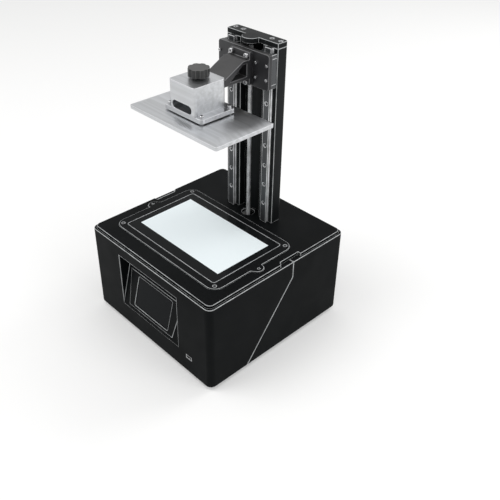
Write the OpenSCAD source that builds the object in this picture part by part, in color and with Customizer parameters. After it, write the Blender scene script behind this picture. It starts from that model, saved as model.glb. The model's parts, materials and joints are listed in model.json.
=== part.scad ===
/* [Body] */
// Width of the body across its side walls
body_w = 339; // [325:1:380]
// Depth of the body from front to back
body_d = 339; // [325:1:380]
// Height of the deck top above the table
deck_z = 190; // [185:1:220]
// Radius of the body's upright corners
corner_r = 12; // [8:1:16]
// Wall thickness of the two housings
wall = 2.5; // [2:0.1:3.5]
// Width of the bare ledge round the deck, where the cover stands
ledge_w = 5; // [3:0.5:7]
// Width of the flange inside the walls that carries the deck
flange_w = 20; // [16:1:24]
// Thickness of that flange
flange_t = 3; // [2:0.5:5]
// Distance of the side seam behind the middle of the body
seam_y = 30; // [10:1:45]
// Height of the upright stretch of the side seam, from the deck top
seam_drop = 38.5; // [25:0.5:60]
// Forward lean of the lower seam, in mm for each mm down
seam_lean = 0.775; // [0.5:0.005:0.9]
// Gap between the two housings along the seam
seam_gap = 0.6; // [0.3:0.1:1]
// Thickness of the base plate
base_t = 2; // [1.5:0.5:4]
// Radius of a corner post inside the housings
post_r = 7; // [5:0.5:9]

/* [Feet] */
// Height of a rubber foot
foot_h = 8; // [5:0.5:12]
// Radius of a foot where it meets the table
foot_r = 14; // [10:0.5:18]
// Distance of a foot's middle from the outside of the body
foot_inset = 30; // [24:1:45]

/* [Deck] */
// Thickness of the deck plate, which is also its step above the ledge
deck_t = 5; // [4:0.5:8]
// Depth of the rebate in the housings that the deck plate lies in
deck_rebate = 1; // [0.5:0.1:1.5]
// Length of the finger notch in each side of the deck
notch_len = 52; // [40:1:70]
// Depth of that notch
notch_depth = 6.5; // [5:0.5:10]
// Length of the notch's slanted end
notch_slant = 6; // [2:0.5:8]
// Distance of the right notch behind the middle of the body
right_notch_y = 28; // [15:0.5:45]
// Distance of the left notch behind the middle of the body
left_notch_y = 4.5; // [0:0.5:45]

/* [Exposure screen] */
// Width of the screen's active area
lcd_w = 218.88; // [200:0.01:222]
// Depth of the screen's active area
lcd_d = 123.12; // [112:0.01:126]
// Distance of the screen's middle in front of the middle of the body
lcd_front = 35; // [30:0.5:40]
// Width of the black glass
glass_w = 248; // [236:0.5:250]
// Depth of the black glass
glass_d = 164; // [150:0.5:168]
// Distance of the glass's middle in front of the active area's middle
glass_front = 2; // [0:0.5:6]
// Thickness of the glass
glass_t = 2.5; // [2:0.1:3]
// Thickness of the light film on the active area
film_t = 0.3; // [0.2:0.05:0.6]
// Thickness of the seal under the glass
seal_t = 0.5; // [0.3:0.1:1]
// Width of the screen frame
frame_w = 284; // [278:1:290]
// Depth of the screen frame
frame_d = 194; // [188:1:200]
// Corner radius of the screen frame
frame_r = 20; // [14:1:26]
// Height of the frame's top above the deck
frame_proud = 1.5; // [0.8:0.1:3]
// Distance of a frame screw from the frame's side and front edges
frame_screw_in = 11.3; // [9:0.1:14]
// Radius of the ear at each side of the frame
ear_r = 12; // [10:0.5:13]
// How far each ear stands out of the frame's side
ear_out = 12.5; // [10:0.5:14]
// Length of the slope that blends each ear into the frame on one side
ear_slope = 15.5; // [14:0.5:18]
// How far the right ear lies behind the frame's middle, and the left ear in front of it
ear_skew = 2.5; // [0:0.5:5]
// Distance of the tapped hole in each ear from the frame's side
ear_hole_out = 5; // [3:0.5:6]
// Radius of that hole
ear_hole_r = 2.1; // [1.6:0.05:2.6]

/* [Front panel] */
// Width of the front recess
recess_w = 167; // [156:1:180]
// Depth of the recess at its top
recess_depth = 30; // [24:1:34]
// Distance of the recess's top below the deck top
recess_top = 27; // [22:1:36]
// Height of the recess
recess_h = 113; // [110:1:118]
// Width of the touch screen's glass
touch_w = 105.5; // [98:0.5:112]
// Height of the touch screen's glass
touch_h = 67.2; // [62:0.1:69]
// Width of the bezel at its top edge
bezel_w = 150; // [140:1:154]
// Lean of each side of the bezel, in mm for each mm down the slope
bezel_lean = 0.14; // [0:0.01:0.16]
// Distance of the bezel's top edge from the recess's top, down the slope
bezel_head = 35; // [30:1:37]
// Distance of the bezel's lower edge from the recess's foot, up the slope
bezel_foot = 8; // [4:1:10]
// Thickness of the bezel
bezel_t = 1.6; // [1:0.1:2.5]
// How far the bezel covers the edge of the glass
bezel_cover = 3; // [2:0.5:5]
// Distance of the memory-stick socket to the right of the middle
usb_x = 112; // [95:1:130]
// Height of the memory-stick socket above the table
usb_z = 44; // [35:1:50]

/* [Back panel] */
// Size of the square exhaust fan
back_fan_size = 60; // [50:5:70]
// Thickness of the exhaust fan
back_fan_t = 15; // [12:1:20]
// Distance of the exhaust fan from the middle of the back
back_fan_x = 90; // [80:1:100]
// Height of the exhaust fan's middle above the table
back_fan_z = 110; // [100:1:125]
// Distance of the mains inlet from the middle of the back
inlet_x = 90; // [80:1:105]
// Height of the inlet's middle above the table
inlet_z = 90; // [80:1:105]
// Width of the inlet's flange
inlet_w = 50; // [46:1:56]
// Height of the inlet's flange
inlet_h = 62; // [58:1:68]
// Depth of the shallow pocket that the guard and the flange lie in
pocket_t = 2; // [1.5:0.5:3]
// Angle of the power switch on each side of level
rocker_angle = 8; // [5:1:12]
// Number of vent slots in the back
vent_count = 9; // [5:1:11]

/* [Light engine] */
// Size of the square cooling fan under the heat sink
cool_fan_size = 92; // [80:1:100]
// Thickness of the cooling fan
cool_fan_t = 25; // [20:1:28]
// Height of the spacers that carry the cooling fan
fan_spacer_h = 5; // [3:0.5:8]
// Height of the heat sink's fins
fin_h = 18; // [12:1:24]
// Number of fins
fin_count = 24; // [16:1:30]
// Thickness of the heat sink's base
sink_t = 5; // [3:0.5:8]
// Height of the lenses
lens_h = 9; // [6:0.5:12]
// Number of lenses across
lens_nx = 10; // [6:1:12]
// Number of lenses from front to back
lens_ny = 6; // [4:1:8]
// Wall thickness of the light hood
hood_t = 2; // [1.5:0.1:3]
// Growth of the hood on each side from its top to its foot
hood_flare = 3; // [0:0.5:6]

/* [Tower] */
// Height of the tower above the deck
tower_h = 350; // [335:1:380]
// Distance of each rail from the middle
rail_x = 44.25; // [42:0.25:48]
// Distance of the rails' front face behind the middle of the body
rail_front_y = 77.5; // [76:0.5:80]
// Width of a rail
rail_w = 15; // [14:0.5:16]
// Height of a rail's section
rail_h = 10; // [9:0.5:11]
// Depth of the seat that each rail lies in
rail_seat = 3.5; // [2.5:0.5:4]
// Distance between the rail's screws
rail_pitch = 40; // [30:1:50]
// Height of the lowest rail screw above the deck
rail_first = 42; // [20:1:50]
// Width of a pillar
pillar_w = 34; // [30:1:36]
// Depth of a pillar
pillar_d = 24.5; // [22:0.5:30]
// Radius of a pillar's rear corners
pillar_r = 6; // [3:0.5:8]
// Thickness of the plate between the pillars
back_t = 2.5; // [2:0.5:4]
// Distance of that plate behind the pillars' front faces
back_set = 14.3; // [13:0.1:17]
// Thickness of the tower's top cap
cap_t = 9; // [8.5:0.5:12]

/* [Z drive] */
// Radius of the lead screw
screw_r = 4; // [3:0.25:5]
// Distance of the lead screw behind the middle of the body
screw_y = 82; // [81:0.25:83]
// Radius of the deck's hole for the lead screw
screw_hole_r = 12.3; // [10:0.1:14]
// Width of the square motor
motor_w = 42.3; // [35:0.1:46]
// Length of the motor's body
motor_h = 40; // [34:1:48]
// Distance of the motor's mounting face below the deck plate
motor_drop = 50; // [45:1:56]
// Radius of the shaft coupler
coupler_r = 9.5; // [8:0.5:11]
// Length of the shaft coupler
coupler_len = 25; // [20:1:30]
// Travel of the platform
travel = 235; // [200:1:240]

/* [Carriage] */
// Width of a rail block
block_w = 32; // [28:1:34]
// Length of a rail block
block_len = 58.8; // [50:0.1:60]
// Height of a rail block's front face above the rail's seat
block_rise = 16; // [15.5:0.5:18]
// Height of the carriage plate
carriage_h = 62; // [60:1:66]
// Thickness of the carriage plate
carriage_t = 8; // [6:0.5:10]
// Width of the arm
arm_w = 48; // [40:1:52]
// Height of the arm at its root
arm_h = 34; // [28:1:38]
// Thickness of the tongue that the platform slides on
tongue_t = 12; // [10:0.5:14]
// Length of the tongue
tongue_len = 60; // [50:1:66]
// Height of the arm's underside above the platform's print face
arm_rise = 50; // [46:1:54]

/* [Platform] */
// Width of the build plate
plate_w = 222; // [210:1:226]
// Depth of the build plate
plate_d = 127; // [118:1:130]
// Thickness of the build plate
plate_t = 12; // [10:0.5:14]
// Wall thickness of the bracket that grips the tongue
grip_t = 8; // [6:0.5:10]
// Radius of the clamp knob
knob_r = 18; // [14:0.5:22]
// Height of the clamp knob
knob_h = 17; // [12:1:20]

/* [Hidden] */
$fn = 64;

// Clearances and small sizes that several pieces share
eps = 0.01;
fit = 0.05;
slip = 0.3;
m3_r = 1.5;
m4_r = 2;
m5_r = 2.5;
screw_fit = 0.1;
sides = [-1, 1];

// Levels and faces, worked out from the sizes above
front_y = -body_d / 2;
back_y = body_d / 2;
base_z = foot_h + base_t;
ledge_z = deck_z - deck_t;
deck_low = ledge_z - deck_rebate;
lcd_y = -lcd_front;
glass_y = lcd_y - glass_front;
frame_z = deck_z + frame_proud;
frame_t = glass_t + seal_t;
frame_floor = frame_z - frame_t;
ear_x = frame_w / 2 + ear_out - ear_r;
light_w = lcd_w + 7;
light_d = lcd_d + 7;

// Front recess
panel_tilt = atan(recess_depth / recess_h);
panel_len = norm([recess_depth, recess_h]);
recess_top_z = deck_z - recess_top;
recess_low_z = recess_top_z - recess_h;
panel_skin = wall / cos(panel_tilt);

// Tower
pillar_y = rail_front_y + rail_h - rail_seat;
rail_seat_y = rail_front_y + rail_h;
pillar_back_y = pillar_y + pillar_d;
tower_plate_y = pillar_y + back_set;
cap_z = deck_z + tower_h - cap_t;
pillar_h = cap_z - deck_z;
rail_len = pillar_h;
rail_count = floor((rail_len - rail_first) / rail_pitch) + 1;
rail_bolt_zs = [for (i = [0 : rail_count - 1]) deck_z + rail_first + i * rail_pitch];

// Carriage and platform, parked at the top of the travel
print_gap = 0.3;
print_z = frame_z + print_gap + travel;
arm_z = print_z + arm_rise;
carriage_z = arm_z + arm_h / 2 - carriage_h / 2;
block_y = rail_seat_y - block_rise;
block_under_y = pillar_y - 0.5;
plate_front_y = block_y - carriage_t;
carriage_w = 2 * rail_x + block_w + 2;
tongue_y = lcd_y;
arm_flange_t = 8;
arm_flange_h = carriage_h - 4;

// Z drive
motor_z = deck_low - motor_drop;
shaft_r = 2.5;
shaft_len = 19;
coupler_lift = 8;
end_gap = 1;
coupler_z = motor_z + coupler_lift;
screw_foot_z = coupler_z + coupler_len / 2 + end_gap;
bearing_r = 11;
bearing_t = 7;

// Light engine
fan_z = base_z + fan_spacer_h;
fin_z = fan_z + cool_fan_t;
sink_z = fin_z + fin_h;
board_t = 1.6;
led_z = sink_z + sink_t;
lens_z = led_z + board_t;
hood_z = lens_z + lens_h;
hood_w = light_w + 2 * hood_t;
hood_d = light_d + 2 * hood_t;

// A rectangle with round corners, centred
module rounded_rect(w, d, r) {
  square([w - 2 * r, d], center = true);
  square([w, d - 2 * r], center = true);
  for (x = sides, y = sides)
    translate([x * (w / 2 - r), y * (d / 2 - r)])
      circle(r = r);
}

// A plate with round corners, standing on z = 0
module rounded_plate(w, d, t, r) {
  linear_extrude(t)
    rounded_rect(w, d, r);
}

// Children drawn as (y, z) become a solid of width w along X
module across(w) {
  rotate([90, 0, 90])
    linear_extrude(w, center = true)
      children();
}

// Children drawn as (x, z) become a solid from y0 to y1
module along(y0, y1) {
  translate([0, y1, 0])
    rotate([90, 0, 0])
      linear_extrude(y1 - y0)
        children();
}

// Children repeated at the four corners of a w by d rectangle
module at_corners(w, d) {
  for (x = sides, y = sides)
    translate([x * w / 2, y * d / 2, 0])
      children();
}

// A hole or shank along +Z
module rod(r, h) {
  cylinder(r = r, h = h);
}

// A socket-head screw: shank down from z = 0, head up
module cap_screw(r, len) {
  head_r = 1.8 * r;
  head_h = 2 * r;
  translate([0, 0, -len])
    rod(r, len + eps);
  difference() {
    rod(head_r, head_h);
    translate([0, 0, head_h - r])
      cylinder(r = 0.95 * r, h = r + eps, $fn = 6);
  }
}

// A countersunk screw whose top lies at z = 0
module flat_screw(r, len) {
  head_r = 2 * r;
  translate([0, 0, -len])
    rod(r, len);
  difference() {
    translate([0, 0, -r])
      cylinder(r1 = r, r2 = head_r, h = r);
    translate([0, 0, -0.6 * r])
      cylinder(r = 0.8 * r, h = r, $fn = 6);
  }
}

// The hole that a countersunk screw lies in
module flat_screw_hole(r, len) {
  head_r = 2 * r;
  translate([0, 0, -len - eps])
    rod(r + screw_fit, len + 2 * eps);
  translate([0, 0, -r - screw_fit])
    cylinder(r1 = r + screw_fit, r2 = head_r + 2 * screw_fit, h = r + screw_fit + eps);
}

// ---- Base ----

foot_span_x = body_w - 2 * foot_inset;
foot_span_y = body_d - 2 * foot_inset;
foot_peg_r = 3;
post_in = wall + post_r - 1;
post_span_x = body_w - 2 * post_in;
post_span_y = body_d - 2 * post_in;
post_h = 30;
tray_w = body_w - 2 * wall - 2 * slip;
tray_d = body_d - 2 * wall - 2 * slip;
cool_fan_hole = cool_fan_size * 0.44;
fan_hole_in = 5;
psu_w = 97;
psu_d = 99;
psu_h = 30;
psu_lift = 3;
board_w = 110;
board_d = 92;
driver_w = 70;
driver_d = 34;
standoff_h = 8;
standoff_r = 3;
board_hole_in = 5;
driver_hole_in = 4;
psu_hole_in = 8;

// Clear space between each of these and the housing's walls
psu_side = 18.5;
psu_back = 6;
main_side = 14;
main_back = 23;
driver_side = 16;
driver_front = 18;
psu_x = body_w / 2 - wall - psu_side - psu_w / 2;
psu_y = body_d / 2 - wall - psu_back - psu_d / 2;
main_x = board_w / 2 + main_side + wall - body_w / 2;
main_y = body_d / 2 - wall - main_back - board_d / 2;
driver_x = driver_w / 2 + driver_side + wall - body_w / 2;
driver_y = driver_d / 2 + driver_front + wall - body_d / 2;

module base_plate() {
  color("dimgray")
  difference() {
    union() {
      translate([0, 0, foot_h])
        rounded_plate(tray_w, tray_d, base_t, corner_r - wall);
      translate([0, lcd_y, base_z - eps])
        at_corners(cool_fan_size - 2 * fan_hole_in, cool_fan_size - 2 * fan_hole_in)
          rod(standoff_r + 1, fan_spacer_h + eps);
      translate([main_x, main_y, base_z - eps])
        at_corners(board_w - 2 * board_hole_in, board_d - 2 * board_hole_in)
          rod(standoff_r, standoff_h + eps);
      translate([driver_x, driver_y, base_z - eps])
        at_corners(driver_w - 2 * driver_hole_in, driver_d - 2 * driver_hole_in)
          rod(standoff_r, standoff_h + eps);
      translate([psu_x, psu_y, base_z - eps])
        at_corners(psu_w - 2 * psu_hole_in, psu_d - 2 * psu_hole_in)
          rod(standoff_r + 1, psu_lift + eps);
    }
    at_corners(foot_span_x, foot_span_y)
      translate([0, 0, foot_h - eps])
        rod(foot_peg_r + screw_fit, base_t + 2 * eps);
    at_corners(post_span_x, post_span_y)
      translate([0, 0, foot_h])
        rotate([180, 0, 0])
          flat_screw_hole(m4_r, base_t);
    // Air slots under the cooling fan
    translate([0, lcd_y, foot_h - eps])
      linear_extrude(base_t + 2 * eps)
        intersection() {
          circle(r = cool_fan_hole);
          for (i = [-4 : 4])
            translate([i * cool_fan_hole / 4.5, 0])
              square([cool_fan_hole / 9, 2 * cool_fan_hole], center = true);
        }
  }
}

module rubber_feet() {
  color([0.07, 0.07, 0.07])
  at_corners(foot_span_x, foot_span_y) {
    cylinder(r1 = foot_r, r2 = foot_r + 1.5, h = foot_h);
    rod(foot_peg_r, foot_h + base_t);
  }
}

// Outline of the front housing, as (y, z), moved back by shift
function seam_outline(shift) = [
  [front_y - 1, deck_z],
  [seam_y + shift, deck_z],
  [seam_y + shift, deck_z - seam_drop],
  [seam_y + shift - seam_lean * (deck_z - seam_drop - foot_h + 1), foot_h - 1],
  [front_y - 1, foot_h - 1]
];

// The whole outer shell, open below, with the deck's flange on top
module body_shell() {
  difference() {
    translate([0, 0, foot_h])
      rounded_plate(body_w, body_d, ledge_z - foot_h, corner_r);
    translate([0, 0, foot_h - eps])
      rounded_plate(body_w - 2 * wall, body_d - 2 * wall,
        ledge_z - flange_t - foot_h + eps, corner_r - wall);
    translate([0, 0, ledge_z - flange_t - 2 * eps])
      rounded_plate(body_w - 2 * flange_w, body_d - 2 * flange_w, flange_t + 4 * eps, corner_r / 2);
    translate([0, 0, deck_low])
      linear_extrude(2 * deck_t)
        deck_2d(slip);
  }
  intersection() {
    at_corners(post_span_x, post_span_y)
      translate([0, 0, base_z])
        rod(post_r, post_h);
    translate([0, 0, base_z])
      rounded_plate(body_w - wall, body_d - wall, post_h, corner_r - wall / 2);
  }
}

module shell_cuts() {
  at_corners(post_span_x, post_span_y)
    translate([0, 0, base_z - eps])
      rod(m4_r + screw_fit, post_h * 0.6);
  translate([0, 0, ledge_z])
    deck_bolts()
      translate([0, 0, -flange_t - eps])
        rod(m4_r + screw_fit, flange_t + 2 * eps);
}

// Places of the screws that hold the deck to the flange
deck_bolt_in = 15.5;
deck_bolt_bite = 4.5;
module deck_bolts() {
  at_corners(body_w - 2 * deck_bolt_in, body_d - 2 * deck_bolt_in)
    children();
}

// Back panel places
fan_pad = back_fan_size + 10;
guard_pitch = back_fan_size - 2 * fan_hole_in;
guard_open_r = back_fan_size * 0.465;
vent_w = 4;
vent_h = 46;
vent_pitch = 9;
back_pad_t = wall + pocket_t;

// Places something on the inner side of the back wall, as seen from behind
module on_back(x, z) {
  translate([x, back_y, z])
    rotate([-90, 0, 0])
      children();
}

module rear_housing() {
  color([0.09, 0.09, 0.1])
  difference() {
    union() {
      difference() {
        body_shell();
        across(body_w + 2)
          polygon(seam_outline(seam_gap));
      }
      // Thicker pads that carry the guard and the inlet
      on_back(back_fan_x, back_fan_z)
        translate([0, 0, -back_pad_t])
          rounded_plate(fan_pad + 6, fan_pad + 6, pocket_t + eps, 6);
      on_back(-inlet_x, inlet_z)
        translate([0, 0, -back_pad_t])
          rounded_plate(inlet_w + 8, inlet_h + 8, pocket_t + eps, 4);
    }
    shell_cuts();
    on_back(back_fan_x, back_fan_z) {
      translate([0, 0, -pocket_t])
        rounded_plate(fan_pad, fan_pad, pocket_t + 1, 4);
      translate([0, 0, -back_pad_t - 1])
        rod(guard_open_r, back_pad_t + 2);
      at_corners(guard_pitch, guard_pitch)
        translate([0, 0, -back_pad_t - 1])
          rod(m3_r + screw_fit, back_pad_t + 2);
    }
    on_back(-inlet_x, inlet_z) {
      translate([0, 0, -pocket_t])
        rounded_plate(inlet_w + slip, inlet_h + slip, pocket_t + 1, 3);
      translate([0, 0, -back_pad_t / 2])
        cube([inlet_w - 6 + slip, inlet_h - 12 + slip, back_pad_t + 3], center = true);
    }
    for (i = [0 : vent_count - 1])
      on_back((i - (vent_count - 1) / 2) * vent_pitch, back_fan_z)
        translate([0, 0, -wall - 1])
          rounded_plate(vent_w, vent_h, wall + 2, vent_w / 2 - eps);
  }
}

// Children placed on the slanted panel: X right, Y up the slope, Z outwards
module on_panel() {
  translate([0, front_y + recess_depth / 2, recess_low_z + recess_h / 2])
    rotate([90 - panel_tilt, 0, 0])
      children();
}

// Children placed at the middle of the bezel
module on_bezel() {
  on_panel()
    translate([0, (bezel_foot - bezel_head) / 2, 0])
      children();
}

module recess_space() {
  across(recess_w)
    polygon([
      [front_y - 1, recess_top_z], [front_y + recess_depth, recess_top_z],
      [front_y, recess_low_z], [front_y - 1, recess_low_z]
    ]);
}

module recess_walls() {
  across(recess_w + 2 * wall)
    polygon([
      [front_y + wall / 2, recess_top_z + wall],
      [front_y + recess_depth + panel_skin, recess_top_z + wall],
      [front_y + recess_depth + panel_skin, recess_top_z],
      [front_y + panel_skin, recess_low_z],
      [front_y + panel_skin, recess_low_z - wall],
      [front_y + wall / 2, recess_low_z - wall]
    ]);
}

usb_w = 13.6;
usb_h = 6.3;
usb_shell = 0.6;
usb_len = 14;
usb_board_w = 28;
usb_rib_w = 3;
usb_rib_h = 8;

module front_fascia() {
  color([0.08, 0.08, 0.09])
  difference() {
    union() {
      intersection() {
        body_shell();
        across(body_w + 2)
          polygon(seam_outline(0));
      }
      recess_walls();
      // Ribs that carry the socket's board
      for (x = sides)
        translate([
          usb_x + x * (usb_board_w / 2 - usb_rib_w) - usb_rib_w / 2,
          front_y + wall / 2, usb_z - usb_h / 2 - board_t - usb_rib_h
        ])
          cube([usb_rib_w, usb_len + 6, usb_rib_h]);
    }
    shell_cuts();
    recess_space();
    on_bezel()
      cube([touch_w + 2 * slip, touch_h + 2 * slip, 4 * wall], center = true);
    translate([usb_x, front_y, usb_z])
      cube([usb_w + slip, 4 * wall, usb_h + slip], center = true);
  }
}

module housing_screws() {
  color("silver")
  at_corners(post_span_x, post_span_y)
    translate([0, 0, foot_h])
      rotate([180, 0, 0])
        flat_screw(m4_r, post_h * 0.5);
}

// ---- Deck and exposure screen ----

deck_w = body_w - 2 * ledge_w;
deck_d = body_d - 2 * ledge_w;
deck_r = corner_r - 2;
pillar_bolt_r = m5_r;

// Outline of the deck plate with its two finger notches, grown by g
module deck_2d(g) {
  difference() {
    rounded_rect(deck_w + 2 * g, deck_d + 2 * g, deck_r + g);
    translate([0, right_notch_y])
      notch_2d(g);
    translate([0, left_notch_y])
      rotate(180)
        notch_2d(g);
  }
}

// The right notch, its front end slanted, less g on each side
module notch_2d(g) {
  edge = deck_w / 2;
  polygon([
    [edge + 1, g - notch_len / 2], [edge + g, g - notch_len / 2],
    [edge - notch_depth + g, g + notch_slant - notch_len / 2],
    [edge - notch_depth + g, notch_len / 2 - g], [edge + 1, notch_len / 2 - g]
  ]);
}

// Outline of the screen frame, grown by g
module frame_2d(g) {
  translate([0, glass_y])
    rounded_rect(frame_w + 2 * g, frame_d + 2 * g, frame_r + g);
  translate([0, glass_y])
    for (a = [0, 180])
      rotate(a)
        translate([ear_x, ear_skew])
          ear_2d(ear_r + g, ear_slope + g);
}

// An ear of radius r, with a straight slope that meets it as a tangent in front
module ear_2d(r, slope) {
  turn = acos(r / slope);
  inset = r / 2;
  fall = (slope - r * cos(turn)) / (r * sin(turn));
  circle(r = r);
  polygon([[0, 0], [-inset, 0], [-inset, -slope - inset * fall], [r * sin(turn), -r * cos(turn)]]);
}

module ear_holes(z0, h) {
  for (x = sides)
    translate([x * (frame_w / 2 + ear_hole_out), glass_y + x * ear_skew, z0])
      rod(ear_hole_r, h);
}

frame_bolt_x = frame_w - 2 * frame_screw_in;
frame_bolt_y = frame_d - 2 * frame_screw_in;

pillar_bolt_x = pillar_w / 2 - 7;
pillar_bolt_y = pillar_d / 2 + 1;
pillar_bolt_bite = 14;
well_spare = 2;

// Places of the screws that hold the two pillars
module pillar_bolts() {
  for (x = sides, i = sides)
    translate([x * rail_x + i * pillar_bolt_x, pillar_y + pillar_bolt_y, 0])
      children();
}

module deck_plate() {
  color([0.1, 0.1, 0.11])
  difference() {
    translate([0, 0, deck_low])
      linear_extrude(deck_z - deck_low)
        difference() {
          deck_2d(0);
          translate([0, lcd_y])
            square([light_w, light_d], center = true);
          translate([0, screw_y])
            circle(r = screw_hole_r);
        }
    translate([0, 0, frame_floor])
      linear_extrude(deck_t)
        frame_2d(slip / 2);
    ear_holes(deck_low - 1, deck_t + 3);
    translate([0, glass_y, frame_z])
      at_corners(frame_bolt_x, frame_bolt_y)
        translate([0, 0, -frame_t - deck_t - 1])
          rod(m3_r + screw_fit, deck_t + frame_t);
    translate([0, 0, deck_low - eps])
      deck_bolts()
        rod(m4_r + screw_fit, deck_bolt_bite + screw_fit);
    pillar_bolts()
      translate([0, 0, deck_low - 1])
        rod(pillar_bolt_r + screw_fit, deck_z - deck_low + 2);
  }
}

module deck_screws() {
  color("silver") {
    // Up through the flange, into blind holes
    translate([0, 0, ledge_z - flange_t])
      deck_bolts()
        rotate([180, 0, 0])
          cap_screw(m4_r, deck_low - ledge_z + flange_t + deck_bolt_bite);
    pillar_bolts()
      translate([0, 0, deck_low])
        rotate([180, 0, 0])
          cap_screw(pillar_bolt_r, deck_z - deck_low + pillar_bolt_bite);
  }
}

module lcd_frame() {
  color([0.13, 0.13, 0.14])
  difference() {
    translate([0, 0, frame_floor])
      linear_extrude(frame_t)
        difference() {
          frame_2d(0);
          translate([0, glass_y])
            rounded_rect(glass_w, glass_d, 5);
        }
    ear_holes(frame_floor - 1, frame_t + 2);
    translate([0, glass_y, frame_z])
      at_corners(frame_bolt_x, frame_bolt_y)
        flat_screw_hole(m3_r, frame_t);
  }
}

module lcd_frame_screws() {
  color("silver")
  translate([0, glass_y, frame_z])
    at_corners(frame_bolt_x, frame_bolt_y)
      flat_screw(m3_r, frame_t + 3);
}

module lcd_seal() {
  color([0.2, 0.2, 0.2])
  translate([0, 0, frame_floor])
    linear_extrude(seal_t)
      difference() {
        translate([0, glass_y])
          rounded_rect(glass_w - 2, glass_d - 2, 4);
        translate([0, lcd_y])
          square([light_w, light_d], center = true);
      }
}

module lcd_glass() {
  color([0.03, 0.03, 0.035])
  difference() {
    translate([0, glass_y, frame_z - glass_t])
      rounded_plate(glass_w - slip, glass_d - slip, glass_t, 5);
    translate([0, lcd_y, frame_z])
      cube([lcd_w, lcd_d, 2 * film_t], center = true);
  }
}

module lcd_film() {
  color([0.89, 0.92, 0.93])
  translate([-lcd_w / 2, lcd_y - lcd_d / 2, frame_z - film_t])
    cube([lcd_w, lcd_d, film_t]);
}

// ---- Front panel ----

bezel_h = panel_len - bezel_head - bezel_foot;
touch_board_margin = 4;

module touch_bezel() {
  half_top = bezel_w / 2;
  half_low = half_top - bezel_lean * bezel_h;
  color([0.05, 0.05, 0.055])
  on_bezel()
    linear_extrude(bezel_t)
      difference() {
        polygon([
          [-half_low, -bezel_h / 2], [half_low, -bezel_h / 2],
          [half_top, bezel_h / 2], [-half_top, bezel_h / 2]
        ]);
        rounded_rect(touch_w - 2 * bezel_cover, touch_h - 2 * bezel_cover, 3);
      }
}

module touch_screen() {
  color([0.02, 0.02, 0.025])
  on_bezel()
    translate([0, 0, -wall])
      rounded_plate(touch_w, touch_h, wall, 2);
}

module touch_board() {
  color([0.05, 0.25, 0.12])
  on_bezel()
    translate([0, 0, -wall - board_t])
      rounded_plate(touch_w + 2 * touch_board_margin, touch_h + 2 * touch_board_margin, board_t, 3);
}

module usb_socket() {
  color("silver")
  translate([usb_x, front_y + usb_len / 2, usb_z])
    difference() {
      cube([usb_w, usb_len, usb_h], center = true);
      translate([0, -usb_shell, 0])
        cube([usb_w - 2 * usb_shell, usb_len, usb_h - 2 * usb_shell], center = true);
    }
  // Board that carries the socket, on two ribs of the fascia
  color([0.05, 0.25, 0.12])
  translate([usb_x - usb_board_w / 2, front_y + wall + slip, usb_z - usb_h / 2 - board_t])
    cube([usb_board_w, usb_len + 4, board_t]);
}

// ---- Back panel ----

rocker_w = 26;
rocker_h = 18;
rocker_up = 14;
rocker_pin_r = 1.5;
rocker_deep = 5;
socket_w = 25;
socket_h = 17;
socket_down = 12;
socket_deep = 16;
blade_set = 5.5;
inlet_deep = 24;

module power_inlet() {
  color([0.06, 0.06, 0.06])
  on_back(-inlet_x, inlet_z)
    difference() {
      union() {
        translate([0, 0, -pocket_t])
          rounded_plate(inlet_w, inlet_h, pocket_t, 3);
        translate([0, 0, -inlet_deep / 2 - pocket_t / 2])
          cube([inlet_w - 6, inlet_h - 12, inlet_deep - pocket_t], center = true);
      }
      // Mains socket, with its two lower corners cut off
      translate([0, socket_down, -socket_deep])
        linear_extrude(socket_deep + 1)
          polygon([
            [-socket_w / 2, -socket_h / 2], [socket_w / 2, -socket_h / 2],
            [socket_w / 2, socket_h / 4], [socket_w / 4, socket_h / 2],
            [-socket_w / 4, socket_h / 2], [-socket_w / 2, socket_h / 4]
          ]);
      translate([0, -rocker_up, 0]) {
        cube([rocker_w + 1, rocker_h + 1, 2 * (rocker_deep + 4)], center = true);
        translate([0, 0, -rocker_deep])
          rotate([0, 90, 0])
            cylinder(r = rocker_pin_r + fit, h = rocker_w + 6, center = true);
      }
    }
  // Contact blades of the mains socket
  color("silver")
  on_back(-inlet_x, inlet_z)
    for (p = [[-7, -2], [0, 2], [7, -2]])
      translate([p[0] - 1, socket_down + p[1] - 2, -socket_deep - 1])
        cube([2, 4, socket_deep + 1 - blade_set]);
}

module power_rocker() {
  color([0.12, 0.12, 0.12])
  on_back(-inlet_x, inlet_z)
    translate([0, -rocker_up, -rocker_deep])
      rotate([rocker_angle, 0, 0]) {
        rotate([90, 0, 90])
          linear_extrude(rocker_w, center = true)
            polygon([
              [-rocker_h / 2 + 1, 0], [-rocker_h / 2 + 1, rocker_deep - 1.6],
              [0, rocker_deep - 2.6], [rocker_h / 2 - 1, rocker_deep - 1.6],
              [rocker_h / 2 - 1, 0], [0, -2.5]
            ]);
        rotate([0, 90, 0])
          cylinder(r = rocker_pin_r, h = rocker_w + 5, center = true);
      }
}

// A square fan of given size and thickness, its air going along +Z
fan_pin_r = 1.5;
function fan_bore(size) = size / 2 - 2;
function fan_hub(size) = size * 0.2;

module fan_frame(size, t) {
  hub_t = 3;
  difference() {
    union() {
      difference() {
        rounded_plate(size, size, t, 5);
        translate([0, 0, -eps])
          rod(fan_bore(size), t + 2 * eps);
      }
      rod(fan_hub(size), hub_t);
      for (a = [45 : 90 : 315])
        rotate([0, 0, a])
          translate([fan_hub(size) - 1, -1.5, 0])
            cube([fan_bore(size) - fan_hub(size) + 2, 3, hub_t]);
    }
    translate([0, 0, -eps])
      rod(fan_pin_r + fit, hub_t + 2 * eps);
    at_corners(size - 10, size - 10)
      translate([0, 0, -eps])
        rod(m3_r + screw_fit, t + 2 * eps);
  }
}

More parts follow.
